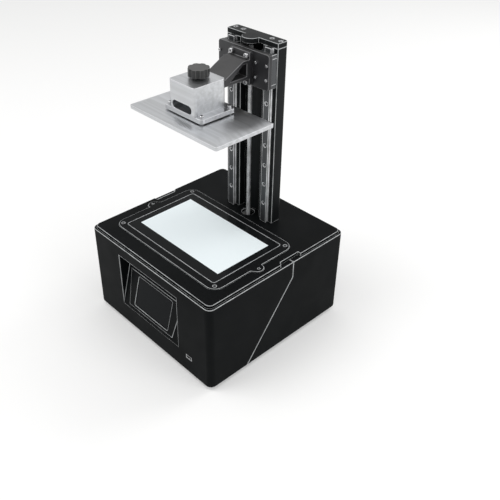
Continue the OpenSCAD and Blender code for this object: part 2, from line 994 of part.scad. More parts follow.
module fan_rotor(size, t) {
  hub_t = 3;
  blades = 7;
  blade_pitch = 38;
  swept_r = fan_bore(size) - 0.8;
  translate([0, 0, 0.5])
    rod(fan_pin_r, t - 1);
  translate([0, 0, hub_t + slip])
    rod(fan_hub(size), t - hub_t - slip - 1);
  intersection() {
    translate([0, 0, hub_t + slip])
      rod(swept_r, t - hub_t - slip - 1);
    for (i = [0 : blades - 1])
      rotate([0, 0, i * 360 / blades])
        translate([fan_hub(size) - 1, 0, (t + hub_t) / 2])
          rotate([blade_pitch, 0, 0])
            translate([0, -size * 0.13, -0.7])
              cube([swept_r, size * 0.26, 1.4]);
  }
}

module place_exhaust_fan() {
  on_back(back_fan_x, back_fan_z)
    translate([0, 0, -back_pad_t - back_fan_t])
      children();
}

module exhaust_fan_frame() {
  color([0.08, 0.08, 0.08])
  place_exhaust_fan()
    fan_frame(back_fan_size, back_fan_t);
}

module exhaust_fan_rotor() {
  color([0.05, 0.05, 0.05])
  place_exhaust_fan()
    fan_rotor(back_fan_size, back_fan_t);
}

guard_t = 1.6;

module exhaust_guard() {
  wire = 1.6;
  color([0.15, 0.15, 0.15])
  on_back(back_fan_x, back_fan_z)
    translate([0, 0, -pocket_t])
      linear_extrude(guard_t)
        difference() {
          union() {
            difference() {
              rounded_rect(fan_pad - 2 * slip, fan_pad - 2 * slip, 4);
              circle(r = guard_open_r);
            }
            for (r = [guard_open_r / 5 : guard_open_r / 5 : guard_open_r * 0.9])
              difference() {
                circle(r = r);
                circle(r = r - wire);
              }
            for (a = [0, 90])
              rotate(a)
                square([2 * guard_open_r + 1, wire], center = true);
          }
          for (x = sides, y = sides)
            translate([x * guard_pitch / 2, y * guard_pitch / 2])
              circle(r = m3_r + screw_fit);
        }
}

module guard_screws() {
  color("silver")
  on_back(back_fan_x, back_fan_z)
    at_corners(guard_pitch, guard_pitch)
      translate([0, 0, guard_t - pocket_t]) {
        cylinder(r1 = 1.9 * m3_r, r2 = 1.5 * m3_r, h = pocket_t - guard_t);
        translate([0, 0, -wall - back_fan_t])
          rod(m3_r, wall + back_fan_t + eps);
      }
}

// ---- Light engine ----

module light_hood() {
  foot_w = hood_w + 2 * hood_flare;
  foot_d = hood_d + 2 * hood_flare;
  color([0.75, 0.76, 0.78])
  difference() {
    hood_form(hood_w, hood_d, foot_w, foot_d, 0);
    hood_form(hood_w - 2 * hood_t, hood_d - 2 * hood_t,
      foot_w - 2 * hood_t, foot_d - 2 * hood_t, 1);
  }
}

// A four-sided taper from the deck plate down to the lenses
module hood_form(top_w, top_d, low_w, low_d, extra) {
  z0 = hood_z - extra;
  z1 = deck_low + extra;
  translate([0, lcd_y, 0])
    intersection() {
      along(-low_d, low_d)
        polygon([[-low_w / 2, z0], [low_w / 2, z0], [top_w / 2, z1], [-top_w / 2, z1]]);
      across(2 * low_w)
        polygon([[-low_d / 2, z0], [low_d / 2, z0], [top_d / 2, z1], [-top_d / 2, z1]]);
    }
}

lens_w = hood_w + 2 * hood_flare;
lens_d = hood_d + 2 * hood_flare;

module lens_array() {
  lens_r = min(lens_w / lens_nx, lens_d / lens_ny) / 2 - 1;
  color([0.8, 0.85, 0.9, 0.5])
  translate([0, lcd_y, lens_z]) {
    difference() {
      translate([0, 0, lens_h - 3])
        rounded_plate(lens_w, lens_d, 3, 4);
      for (i = [0 : lens_nx - 1], j = [0 : lens_ny - 1])
        translate([
          (i - (lens_nx - 1) / 2) * (lens_w - 10) / lens_nx,
          (j - (lens_ny - 1) / 2) * (lens_d - 10) / lens_ny,
          lens_h - 1
        ])
          cylinder(r1 = lens_r / 2, r2 = lens_r, h = 1 + eps);
    }
    at_corners(lens_w - 10, lens_d - 10)
      rod(3, lens_h - 3 + eps);
  }
}

module led_board() {
  color([0.9, 0.9, 0.88])
  translate([0, lcd_y, led_z]) {
    rounded_plate(lens_w, lens_d, board_t, 4);
    for (i = [0 : lens_nx - 1], j = [0 : lens_ny - 1])
      translate([
        (i - (lens_nx - 1) / 2) * (lens_w - 10) / lens_nx,
        (j - (lens_ny - 1) / 2) * (lens_d - 10) / lens_ny,
        board_t + 0.9
      ])
        cube([4, 4, 1.8 + eps], center = true);
  }
}

module heat_sink() {
  fin_t = 2;
  color([0.7, 0.71, 0.73])
  translate([0, lcd_y, 0]) {
    translate([0, 0, sink_z])
      rounded_plate(lens_w, lens_d, sink_t, 2);
    for (i = [0 : fin_count - 1])
      translate([
        -lens_w / 2 + 4 + i * (lens_w - 8 - fin_t) / (fin_count - 1),
        -lens_d / 2 + 4, fin_z
      ])
        cube([fin_t, lens_d - 8, fin_h + eps]);
  }
}

module place_cooling_fan() {
  translate([0, lcd_y, fan_z])
    children();
}

module cooling_fan_frame() {
  color([0.08, 0.08, 0.08])
  place_cooling_fan()
    fan_frame(cool_fan_size, cool_fan_t);
}

module cooling_fan_rotor() {
  color([0.05, 0.05, 0.05])
  place_cooling_fan()
    fan_rotor(cool_fan_size, cool_fan_t);
}

// ---- Electronics ----

terminal_d = 8;
terminal_h = 10;
terminal_in = 8;
relay_w = 12;
relay_h = 9;
relay_pitch = 22;
chip_w = 18;
chip_t = 3;
capacitor_r = 3;
capacitor_h = 11;
capacitor_pitch = 8;

// A block of w by d by h on a board's top, its near left corner at x, y
module board_part(x, y, w, d, h) {
  translate([x, y, board_t - eps])
    cube([w, d, h + eps]);
}

module main_board() {
  left = -board_w / 2;
  front = -board_d / 2;
  color([0.05, 0.25, 0.12])
  translate([main_x, main_y, base_z + standoff_h]) {
    rounded_plate(board_w, board_d, board_t, 3);
    board_part(left + terminal_in, front + board_hole_in - 2,
      board_w - 2 * terminal_in - relay_pitch, terminal_d, terminal_h);
    for (i = [0 : 3])
      board_part(left + relay_w + i * relay_pitch, relay_w / 2, relay_w, relay_w, relay_h);
    board_part(-left - chip_w - relay_w, -chip_w, chip_w, chip_w, chip_t);
    for (i = [0 : 2])
      translate([
        -left - terminal_in - (2 - i) * capacitor_pitch,
        -front - 2 * capacitor_pitch, board_t - eps
      ])
        rod(capacitor_r, capacitor_h + eps);
  }
}

module lcd_driver_board() {
  chip = 12;
  chip_h = 1.8;
  plug_in = 12;
  plug_d = 5;
  plug_h = 3;
  color([0.05, 0.25, 0.12])
  translate([driver_x, driver_y, base_z + standoff_h]) {
    rounded_plate(driver_w, driver_d, board_t, 2);
    board_part(-chip / 2, -chip / 2, chip, chip, chip_h);
    board_part(plug_in - driver_w / 2, driver_d / 2 - plug_d - 2, driver_w - 2 * plug_in, plug_d, plug_h);
  }
}

psu_skin = 4;
psu_floor = 10;
psu_bay = 14;
psu_vent = 4;
psu_vent_pitch = 11;

module power_supply() {
  color([0.78, 0.79, 0.8])
  translate([psu_x, psu_y, base_z + psu_lift])
    difference() {
      translate([-psu_w / 2, -psu_d / 2, 0])
        cube([psu_w, psu_d, psu_h]);
      // Open end with the terminals
      translate([psu_skin - psu_w / 2, -psu_d / 2 - 1, psu_floor])
        cube([psu_w - 2 * psu_skin, psu_bay + 1, psu_h]);
      // Vent slots in the lid
      for (i = [-3 : 3])
        translate([i * psu_vent_pitch - psu_vent / 2, 2 * psu_bay - psu_d / 2, psu_h - 2])
          cube([psu_vent, psu_d - 3 * psu_bay, 3]);
    }
}

// ---- Z drive ----

bracket_t = 3;
bracket_half = motor_w / 2 + 2;
motor_pitch = 31;

module motor_bracket() {
  foot = 13;
  color([0.5, 0.5, 0.52])
  difference() {
    along(screw_y - bracket_half, screw_y + bracket_half)
      polygon([
        [-bracket_half - foot, deck_low], [-bracket_half, deck_low],
        [-bracket_half, motor_z + bracket_t], [bracket_half, motor_z + bracket_t],
        [bracket_half, deck_low], [bracket_half + foot, deck_low],
        [bracket_half + foot, deck_low - bracket_t], [bracket_half + bracket_t, deck_low - bracket_t],
        [bracket_half + bracket_t, motor_z], [-bracket_half - bracket_t, motor_z],
        [-bracket_half - bracket_t, deck_low - bracket_t], [-bracket_half - foot, deck_low - bracket_t]
      ]);
    translate([0, screw_y, motor_z - 1]) {
      rod(bearing_r + slip, bracket_t + 2);
      at_corners(motor_pitch, motor_pitch)
        rod(m3_r + screw_fit, bracket_t + 2);
    }
    // Clear the heads of the pillar screws
    pillar_bolts()
      translate([0, 0, deck_low - bracket_t - 1])
        rod(2 * pillar_bolt_r + 1, bracket_t + 2);
  }
}

module z_motor() {
  color([0.15, 0.15, 0.16])
  translate([0, screw_y, motor_z]) {
    difference() {
      translate([0, 0, -motor_h])
        linear_extrude(motor_h)
          intersection() {
            square(motor_w, center = true);
            rotate(45)
              square(motor_w * 1.28, center = true);
          }
      translate([0, 0, -motor_h - 1])
        rod(shaft_r + fit, motor_h + 2);
      at_corners(motor_pitch, motor_pitch)
        translate([0, 0, -6])
          rod(m3_r + screw_fit, 7);
    }
    difference() {
      translate([0, 0, -eps])
        rod(bearing_r, 2);
      translate([0, 0, -1])
        rod(shaft_r + fit, 5);
    }
    at_corners(motor_pitch, motor_pitch)
      translate([0, 0, bracket_t])
        cap_screw(m3_r, bracket_t + 5);
  }
}

module motor_shaft() {
  color("silver")
  translate([0, screw_y, motor_z - motor_h + end_gap])
    rod(shaft_r, motor_h + shaft_len - end_gap);
}

module shaft_coupler() {
  color("silver")
  translate([0, screw_y, coupler_z])
    difference() {
      rod(coupler_r, coupler_len);
      translate([0, 0, -1])
        rod(shaft_r + fit / 2, coupler_len);
      translate([0, 0, coupler_len / 2])
        rod(screw_r + fit / 2, coupler_len);
      // Flexure slots, from alternate sides
      for (i = [0 : 3])
        rotate([0, 0, i * 90])
          translate([-coupler_r / 2, -coupler_r - 1, coupler_len / 2 - 4.5 + i * 2.6])
            cube([3 * coupler_r, 2 * coupler_r + 2, 0.8]);
      for (z = [4, coupler_len - 4])
        translate([0, 0, z])
          rotate([0, 90, 0])
            rod(m3_r, coupler_r + 1);
    }
}

module lead_screw() {
  tip = 0.8;
  top_z = cap_z + bearing_t - end_gap;
  color("silver")
  translate([0, screw_y, 0]) {
    translate([0, 0, screw_foot_z])
      cylinder(r1 = screw_r - tip, r2 = screw_r, h = tip);
    translate([0, 0, screw_foot_z + tip])
      rod(screw_r, top_z - screw_foot_z - 2 * tip);
    translate([0, 0, top_z - tip])
      cylinder(r1 = screw_r, r2 = screw_r - tip, h = tip);
  }
}

// ---- Tower ----

slot_d = 3;
cap_bolt_len = 16;

// Section of a pillar, its middle at x = 0 and its front face at y = 0;
// the slot for the back plate is on the side given by s
module pillar_2d(s) {
  difference() {
    union() {
      translate([-pillar_w / 2, 0])
        square([pillar_w, pillar_d - pillar_r]);
      translate([-pillar_w / 2 + pillar_r, 0])
        square([pillar_w - 2 * pillar_r, pillar_d]);
      for (x = sides)
        translate([x * (pillar_w / 2 - pillar_r), pillar_d - pillar_r])
          circle(r = pillar_r);
    }
    translate([-rail_w / 2 - fit, -1])
      square([rail_w + 2 * fit, rail_seat + 1]);
    translate([s * pillar_w / 2, back_set + back_t / 2])
      square([2 * slot_d, back_t + 2 * fit], center = true);
  }
}

module pillar(s) {
  difference() {
    translate([0, 0, deck_z])
      linear_extrude(pillar_h)
        pillar_2d(s);
    for (z = rail_bolt_zs)
      translate([0, 0, z])
        rotate([-90, 0, 0])
          rod(m3_r + screw_fit, rail_seat + 12);
    for (i = sides)
      translate([i * pillar_bolt_x, pillar_bolt_y, 0]) {
        translate([0, 0, deck_z - 1])
          rod(pillar_bolt_r + screw_fit, pillar_bolt_bite + well_spare + 1);
        translate([0, 0, cap_z - cap_bolt_len])
          rod(m4_r + screw_fit, cap_bolt_len + 1);
      }
  }
}

module left_pillar() {
  color([0.14, 0.14, 0.15])
  translate([-rail_x, pillar_y, 0])
    pillar(1);
}

module right_pillar() {
  color([0.14, 0.14, 0.15])
  translate([rail_x, pillar_y, 0])
    pillar(-1);
}

module tower_back_plate() {
  half = rail_x - pillar_w / 2 + slot_d - slip;
  color([0.11, 0.11, 0.12])
  translate([-half, tower_plate_y, deck_z])
    cube([2 * half, back_t, pillar_h]);
}

// Depth of the wells that the rail screws' heads lie in
rail_sink = 4.5;

module rail() {
  groove = 1.1;
  color([0.82, 0.83, 0.85])
  difference() {
    translate([0, 0, deck_z])
      linear_extrude(rail_len)
        polygon([
          [-rail_w / 2, 0], [rail_w / 2, 0],
          [rail_w / 2, -rail_h * 0.42], [rail_w / 2 - groove, -rail_h * 0.53],
          [rail_w / 2 - groove, -rail_h * 0.65], [rail_w / 2, -rail_h * 0.76],
          [rail_w / 2, -rail_h], [-rail_w / 2, -rail_h],
          [-rail_w / 2, -rail_h * 0.76], [groove - rail_w / 2, -rail_h * 0.65],
          [groove - rail_w / 2, -rail_h * 0.53], [-rail_w / 2, -rail_h * 0.42]
        ]);
    for (z = rail_bolt_zs)
      translate([0, -rail_h - eps, z])
        rotate([-90, 0, 0]) {
          rod(2 * m3_r, rail_sink + eps);
          rod(m3_r + screw_fit, rail_h + 1);
        }
  }
}

module left_rail() {
  translate([-rail_x, rail_seat_y, 0])
    rail();
}

module right_rail() {
  translate([rail_x, rail_seat_y, 0])
    rail();
}

module rail_screws() {
  color([0.3, 0.3, 0.32])
  for (x = sides, z = rail_bolt_zs)
    translate([x * rail_x, rail_front_y + rail_sink, z])
      rotate([90, 0, 0])
        cap_screw(m3_r, rail_h);
}

cap_w = 2 * rail_x + pillar_w;
cap_bolt_head = 2 * m4_r + 0.5;
nose_w = 2 * bearing_r + 10;

module tower_cap() {
  color([0.12, 0.12, 0.13])
  difference() {
    translate([0, 0, cap_z])
      linear_extrude(cap_t)
        union() {
          translate([-cap_w / 2, pillar_y])
            square([cap_w, pillar_d - pillar_r]);
          translate([-cap_w / 2 + pillar_r, pillar_y])
            square([cap_w - 2 * pillar_r, pillar_d]);
          for (x = sides)
            translate([x * (cap_w / 2 - pillar_r), pillar_back_y - pillar_r])
              circle(r = pillar_r);
          translate([-nose_w / 2, screw_y])
            square([nose_w, pillar_back_y - screw_y - 1]);
          translate([0, screw_y])
            circle(r = nose_w / 2);
        }
    translate([0, screw_y, cap_z - eps])
      rod(bearing_r + fit, bearing_t + eps);
    pillar_bolts_top();
  }
}

module pillar_bolts_top() {
  pillar_bolts()
    translate([0, 0, cap_z - 1]) {
      rod(m4_r + screw_fit, cap_t + 2);
      translate([0, 0, cap_t + 1 - cap_bolt_head])
        rod(2 * m4_r, 2 * m4_r + 1);
    }
}

module cap_screws() {
  color("silver")
  pillar_bolts()
    translate([0, 0, cap_z + cap_t - cap_bolt_head])
      cap_screw(m4_r, cap_bolt_len);
}

module top_bearing() {
  color("silver")
  translate([0, screw_y, cap_z])
    difference() {
      rod(bearing_r, bearing_t);
      translate([0, 0, -eps])
        rod(screw_r + fit, bearing_t + 2 * eps);
      for (z = [-1, bearing_t - 0.4])
        translate([0, 0, z])
          difference() {
            rod(bearing_r - 2, 1.4);
            translate([0, 0, -eps])
              rod(screw_r + 2.4, 1.4 + 2 * eps);
          }
    }
}

// Slotted light gate at the top of the travel and the flag that enters it
flag_x = -20;
flag_t = 1.2;
flag_h = 12;
flag_z = carriage_z + carriage_h - flag_h - 3;
gate_slot = 4;
gate_w = 12;
gate_h = 14;
gate_d = 11;

module limit_sensor() {
  color([0.05, 0.05, 0.05])
  translate([flag_x, tower_plate_y, flag_z + flag_h / 2])
    difference() {
      translate([-gate_w / 2, -gate_d, -gate_h / 2])
        cube([gate_w, gate_d, gate_h]);
      translate([-gate_slot / 2, -gate_d - 1, -gate_h])
        cube([gate_slot, gate_d - 3, 2 * gate_h]);
    }
}

module sensor_flag() {
  reach = tower_plate_y - 6 - block_y;
  color("silver")
  translate([flag_x, block_y, flag_z]) {
    translate([-flag_t / 2, 0, 0])
      cube([flag_t, reach, flag_h]);
    translate([-flag_t / 2, 0, 0])
      cube([9, flag_t, flag_h]);
  }
}

// ---- Carriage ----

block_z = carriage_z + (carriage_h - block_len) / 2;
block_bolt = 25;

module block() {
  color([0.75, 0.76, 0.78])
  translate([0, 0, block_z])
    difference() {
      translate([-block_w / 2, block_y, 0])
        cube([block_w, block_under_y - block_y, block_len]);
      translate([-rail_w / 2 - screw_fit, rail_front_y - screw_fit, -1])
        cube([rail_w + 2 * screw_fit, rail_h, block_len + 2]);
      translate([0, block_y, block_len / 2])
        rotate([-90, 0, 0])
          at_corners(block_bolt, block_bolt)
            translate([0, 0, -1])
              rod(m3_r + screw_fit, 5);
      // Joints between the steel body and the end caps
      for (z = [7, block_len - 7])
        translate([0, (block_y + block_under_y) / 2, z])
          difference() {
            cube([block_w + 2, block_under_y - block_y + 2, 0.6], center = true);
            cube([block_w - 1, block_under_y - block_y - 1, 2], center = true);
          }
    }
}

module left_block() {
  translate([-rail_x, 0, 0])
    block();
}

module right_block() {
  translate([rail_x, 0, 0])
    block();
}

nut_r = 5.1;
nut_flange_t = 3.5;
boss_h = 20;
boss_w = 30;
boss_back_y = tower_plate_y - 2;
nut_pcd = 16;

module carriage_plate() {
  color([0.16, 0.16, 0.17])
  difference() {
    union() {
      translate([0, block_y, carriage_z + carriage_h / 2])
        rotate([90, 0, 0])
          rounded_plate(carriage_w, carriage_h, carriage_t, 5);
      translate([-boss_w / 2, block_y - eps, carriage_z])
        cube([boss_w, boss_back_y - block_y, boss_h]);
    }
    translate([0, screw_y, carriage_z - 1]) {
      rod(nut_r + fit, boss_h + 2);
      for (a = [45 : 90 : 315])
        rotate([0, 0, a])
          translate([nut_pcd / 2, 0, 0])
            rod(m3_r + screw_fit, 11);
    }
    for (x = sides)
      translate([x * rail_x, plate_front_y, carriage_z + carriage_h / 2])
        rotate([-90, 0, 0])
          at_corners(block_bolt, block_bolt)
            translate([0, 0, -1])
              rod(m3_r + screw_fit, carriage_t + 2);
    translate([0, plate_front_y - 1, arm_z + arm_h / 2])
      rotate([-90, 0, 0])
        at_corners(arm_bolt_x, arm_bolt_z)
          rod(m5_r + screw_fit, carriage_t + 2);
  }
}

module carriage_screws() {
  color("silver")
  for (x = sides)
    translate([x * rail_x, plate_front_y, carriage_z + carriage_h / 2])
      rotate([90, 0, 0])
        at_corners(block_bolt, block_bolt)
          cap_screw(m3_r, carriage_t + 3);
}

module lead_nut() {
  color([0.75, 0.6, 0.25])
  translate([0, screw_y, carriage_z])
    difference() {
      union() {
        rod(nut_r, boss_h + 2);
        translate([0, 0, -nut_flange_t])
          rod(bearing_r, nut_flange_t);
      }
      translate([0, 0, -nut_flange_t - 1])
        rod(screw_r + fit, boss_h + nut_flange_t + 4);
      for (a = [45 : 90 : 315])
        rotate([0, 0, a])
          translate([nut_pcd / 2, 0, -nut_flange_t - 1])
            rod(m3_r + screw_fit, nut_flange_t + 1);
    }
}

module nut_screws() {
  color("silver")
  translate([0, screw_y, carriage_z - nut_flange_t])
    rotate([180, 0, 0])
      for (a = [45 : 90 : 315])
        rotate([0, 0, a])
          translate([nut_pcd / 2, 0, 0])
            cap_screw(m3_r, nut_flange_t + 8);
}

// ---- Arm ----

arm_bolt_x = arm_w - 12;
arm_bolt_z = arm_flange_h - 12;
arm_flange_y = plate_front_y - arm_flange_t;
tongue_front_y = tongue_y - tongue_len / 2;
tongue_back_y = tongue_y + tongue_len / 2;

module platform_arm() {
  web = 10;
  rib = 6;
  shoulder_y = arm_flange_y - 14;
  color([0.2, 0.2, 0.21])
  difference() {
    union() {
      translate([0, plate_front_y, arm_z + arm_h / 2])
        rotate([90, 0, 0])
          rounded_plate(arm_w, arm_flange_h, arm_flange_t, 4);
      across(arm_w)
        polygon([
          [arm_flange_y + eps, arm_z], [arm_flange_y + eps, arm_z + arm_h],
          [shoulder_y, arm_z + arm_h], [tongue_back_y + 4, arm_z + tongue_t],
          [tongue_front_y, arm_z + tongue_t], [tongue_front_y, arm_z]
        ]);
    }
    // Side pockets leave a web in the middle
    for (x = sides)
      translate([x * (arm_w / 2 + web / 2), 0, 0])
        across(arm_w)
          polygon([
            [arm_flange_y - rib, arm_z + rib], [arm_flange_y - rib, arm_z + arm_h - rib],
            [shoulder_y - 1, arm_z + arm_h - rib], [tongue_back_y + 18, arm_z + rib]
          ]);
    translate([0, plate_front_y + 1, arm_z + arm_h / 2])
      rotate([90, 0, 0])
        at_corners(arm_bolt_x, arm_bolt_z)
          rod(m5_r + screw_fit, arm_flange_t + 2);
  }
}

module arm_screws() {
  color("silver")
  translate([0, arm_flange_y, arm_z + arm_h / 2])
    rotate([90, 0, 0])
      at_corners(arm_bolt_x, arm_bolt_z)
        cap_screw(m5_r, arm_flange_t + carriage_t - 1);
}

// ---- Platform ----

grip_w = arm_w + 2 * grip_t;
grip_gap = 0.25;
grip_r = 6;
grip_top_z = arm_z + tongue_t + grip_gap;
level_gap = 2;
saddle_w = 96;
saddle_d = 76;
saddle_t = 8;
saddle_z = print_z + plate_t + level_gap;
level_x = saddle_w - 16;
level_y = saddle_d - 16;
knob_stud_r = 3.95;

module platform_bracket() {
  stem_z = saddle_z + saddle_t - eps;
  color([0.72, 0.73, 0.75])
  difference() {
    union() {
      translate([0, tongue_y, saddle_z])
        rounded_plate(saddle_w, saddle_d, saddle_t, 8);
      translate([0, tongue_y - grip_t / 2, stem_z])
        rounded_plate(grip_w, tongue_len + grip_t, grip_top_z + grip_t - stem_z, grip_r);
    }
    // Channel that slides over the tongue, open at the back
    translate([-arm_w / 2 - grip_gap, tongue_front_y - grip_gap, arm_z - grip_gap])
      cube([arm_w + 2 * grip_gap, tongue_len + 20, tongue_t + 2 * grip_gap]);
    // Round arch through the stem
    translate([0, 0, stem_z + 8])
      rotate([90, 0, 0])
        translate([0, 0, -tongue_back_y - 1])
          linear_extrude(tongue_len + grip_t + 40)
            rounded_rect(grip_w - 2 * grip_t, 14, 6.9);
    translate([0, tongue_y, grip_top_z - 1])
      rod(knob_stud_r + fit, grip_t + 2);
    translate([0, tongue_y, saddle_z - 1])
      at_corners(level_x, level_y)
        rod(m4_r + screw_fit, saddle_t + 2);
  }
}

module build_plate() {
  side_h = plate_t * 0.55;
  slope = 16;
  color([0.66, 0.67, 0.69])
  translate([0, tongue_y, print_z])
    difference() {
      intersection() {
        rounded_plate(plate_w, plate_d, plate_t, 4);
        across(plate_w + 2)
          polygon([
            [-plate_d / 2, 0], [plate_d / 2, 0], [plate_d / 2, side_h],
            [plate_d / 2 - slope, plate_t], [slope - plate_d / 2, plate_t],
            [-plate_d / 2, side_h]
          ]);
        along(-plate_d, plate_d)
          polygon([
            [-plate_w / 2, 0], [plate_w / 2, 0], [plate_w / 2, side_h],
            [plate_w / 2 - slope, plate_t], [slope - plate_w / 2, plate_t],
            [-plate_w / 2, side_h]
          ]);
      }
      at_corners(level_x, level_y)
        translate([0, 0, plate_t - 7])
          rod(m4_r + fit, 8);
    }
}

module levelling_screws() {
  color("silver")
  translate([0, tongue_y, saddle_z + saddle_t])
    at_corners(level_x, level_y) {
      cap_screw(m4_r, saddle_t + level_gap + 6);
      translate([0, 0, -saddle_t - level_gap])
        rod(2 * m4_r, level_gap);
    }
}

module clamp_knob() {
  lobes = 8;
  seat_z = grip_top_z + grip_t + 0.5;
  color([0.07, 0.07, 0.07])
  translate([0, tongue_y, 0]) {
    translate([0, 0, seat_z + 3])
      linear_extrude(knob_h - 3)
        difference() {
          circle(r = knob_r);
          for (i = [0 : lobes - 1])
            rotate(i * 360 / lobes)
              translate([knob_r + 3, 0])
                circle(r = 5);
        }
    translate([0, 0, seat_z])
      cylinder(r1 = knob_r * 0.55, r2 = knob_r * 0.7, h = 3 + eps);
    translate([0, 0, arm_z + tongue_t + 0.1])
      rod(knob_stud_r, seat_z - arm_z - tongue_t);
  }
}

base_plate();
rubber_feet();
rear_housing();
front_fascia();
housing_screws();
deck_plate();
deck_screws();
lcd_frame();
lcd_frame_screws();
lcd_seal();
lcd_glass();
lcd_film();
touch_bezel();
touch_screen();
touch_board();
usb_socket();
power_inlet();
power_rocker();
exhaust_fan_frame();
exhaust_fan_rotor();
exhaust_guard();
guard_screws();
light_hood();
lens_array();
led_board();
heat_sink();
cooling_fan_frame();
cooling_fan_rotor();
main_board();
lcd_driver_board();
power_supply();
motor_bracket();
z_motor();
motor_shaft();
shaft_coupler();
lead_screw();
left_pillar();
right_pillar();
tower_back_plate();
left_rail();
right_rail();
rail_screws();
tower_cap();
cap_screws();
top_bearing();
limit_sensor();
left_block();
right_block();
carriage_plate();
carriage_screws();
lead_nut();
nut_screws();
platform_arm();
arm_screws();
sensor_flag();
platform_bracket();
build_plate();
levelling_screws();
clamp_knob();
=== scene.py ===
import json
import math

import bmesh
import bpy
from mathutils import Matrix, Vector
from mathutils.geometry import intersect_point_line


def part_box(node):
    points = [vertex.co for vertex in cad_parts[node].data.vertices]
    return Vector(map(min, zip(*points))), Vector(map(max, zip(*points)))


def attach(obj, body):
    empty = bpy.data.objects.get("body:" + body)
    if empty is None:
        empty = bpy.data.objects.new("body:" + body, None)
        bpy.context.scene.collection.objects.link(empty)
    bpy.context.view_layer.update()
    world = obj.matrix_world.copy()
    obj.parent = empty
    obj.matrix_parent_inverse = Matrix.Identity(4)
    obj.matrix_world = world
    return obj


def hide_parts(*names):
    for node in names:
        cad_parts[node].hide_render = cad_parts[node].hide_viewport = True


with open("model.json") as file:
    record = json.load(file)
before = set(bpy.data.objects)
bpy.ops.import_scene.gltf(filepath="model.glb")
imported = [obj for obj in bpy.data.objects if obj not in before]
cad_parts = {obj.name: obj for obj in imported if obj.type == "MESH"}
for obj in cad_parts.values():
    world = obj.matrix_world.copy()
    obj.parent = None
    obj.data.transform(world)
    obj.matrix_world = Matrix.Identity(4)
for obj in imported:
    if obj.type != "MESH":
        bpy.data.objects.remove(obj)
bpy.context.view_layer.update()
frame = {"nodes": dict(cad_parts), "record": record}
nodes = frame["nodes"]
slotOf = {part["node"]: part["material_slot"] for part in frame["record"]["subparts"]}
bodyOf = {name: body
          for body, names in frame["record"]["behaviour"]["bodies"].items()
          for name in names}
print("frame loaded:", len(nodes), "nodes")

# Distances in metres below which two things are at the same place
weldGap = 0.000002  # corners
levelGap = 0.00002  # heights of faces and rings
cutGap = 0.0000001  # a corner and a cutting plane

# Kinds of socket
number = "NodeSocketFloat"
direction = "NodeSocketVector"
geometry = "NodeSocketGeometry"


# Node trees, for finishes and for shapes

def startTree(kind, name, inputs, outputs):
    tree = bpy.data.node_groups.new(name, kind)
    for label, socketKind, value in inputs:
        socket = tree.interface.new_socket(label, in_out="INPUT", socket_type=socketKind)
        if value is not None:
            socket.default_value = value
    for label, socketKind in outputs:
        tree.interface.new_socket(label, in_out="OUTPUT", socket_type=socketKind)
    return tree, tree.nodes.new("NodeGroupInput"), tree.nodes.new("NodeGroupOutput")


def add(tree, kind, links=(), **settings):
    made = tree.nodes.new(kind)
    for key, value in settings.items():
        setattr(made, key, value)
    for socket, source in links:
        target = made.inputs[socket]
        if isinstance(source, bpy.types.NodeSocket):
            tree.links.new(source, target)
        else:
            target.default_value = source
    return made


def reckon(tree, operation, first, second=0.0, third=0.0):
    return add(tree, "ShaderNodeMath", enumerate((first, second, third)),
        operation=operation).outputs[0]


def vector(tree, x=0.0, y=0.0, z=0.0):
    return add(tree, "ShaderNodeCombineXYZ", [("X", x), ("Y", y), ("Z", z)]).outputs[0]


def objectSpot(tree):
    return add(tree, "ShaderNodeTexCoord").outputs["Object"]


def noise(tree, spot, scale, detail, rough=0.5, swirl=0.0):
    return add(tree, "ShaderNodeTexNoise", [("Vector", spot), ("Scale", scale),
        ("Detail", detail), ("Roughness", rough), ("Distortion", swirl)]).outputs[0]


# Shader groups that more than one finish uses

def buildMouldGrain():
    # Fine pebble of a moulded or powder-coated face, with slow drifts in tone
    tree, start, end = startTree("ShaderNodeTree", "mouldGrain",
        [("Grain Scale", number, 1400.0), ("Drift Scale", number, 9.0)],
        [("Height", number), ("Drift", number)])
    spot = objectSpot(tree)
    fine = noise(tree, spot, start.outputs["Grain Scale"], 2.0, rough=0.6)
    cells = add(tree, "ShaderNodeTexVoronoi",
        [("Vector", spot), ("Scale", start.outputs["Grain Scale"])], feature="SMOOTH_F1")
    height = reckon(tree, "ADD", fine, cells.outputs["Distance"])
    drift = noise(tree, spot, start.outputs["Drift Scale"], 4.0, rough=0.55)
    tree.links.new(height, end.inputs["Height"])
    tree.links.new(drift, end.inputs["Drift"])
    return tree


def buildToolLines():
    # Lines that grinding, brushing or milling leaves, stretched along one axis
    tree, start, end = startTree("ShaderNodeTree", "toolLines",
        [("Stretch", direction, (1.0, 1.0, 0.02)), ("Line Scale", number, 1800.0)],
        [("Height", number), ("Streak", number)])
    spot = add(tree, "ShaderNodeVectorMath", [(0, objectSpot(tree)),
        (1, start.outputs["Stretch"])], operation="MULTIPLY").outputs[0]
    fine = noise(tree, spot, start.outputs["Line Scale"], 3.0, rough=0.7)
    wide = noise(tree, spot, 160.0, 2.0)
    tree.links.new(fine, end.inputs["Height"])
    tree.links.new(wide, end.inputs["Streak"])
    return tree


def buildEdgeWearHighlight():
    # Pale edges where faces carry the attribute edge, broken up a little by noise: partly
    # wear, mostly a painted highlight
    tree, start, end = startTree("ShaderNodeTree", "edgeWearHighlight",
        [("Amount", number, 0.6), ("Break Up", number, 60.0)],
        [("Wear And Highlight", number)])
    patch = noise(tree, objectSpot(tree), start.outputs["Break Up"], 4.0)
    steep = add(tree, "ShaderNodeMapRange", [("Value", patch), ("From Min", 0.25),
        ("From Max", 0.6), ("To Min", 0.55), ("To Max", 1.0)])
    edge = add(tree, "ShaderNodeAttribute", attribute_name="edge").outputs["Fac"]
    part = reckon(tree, "MULTIPLY", edge, steep.outputs[0])
    wearAndHighlight = reckon(tree, "MULTIPLY", part, start.outputs["Amount"])
    tree.links.new(wearAndHighlight, end.inputs["Wear And Highlight"])
    return tree


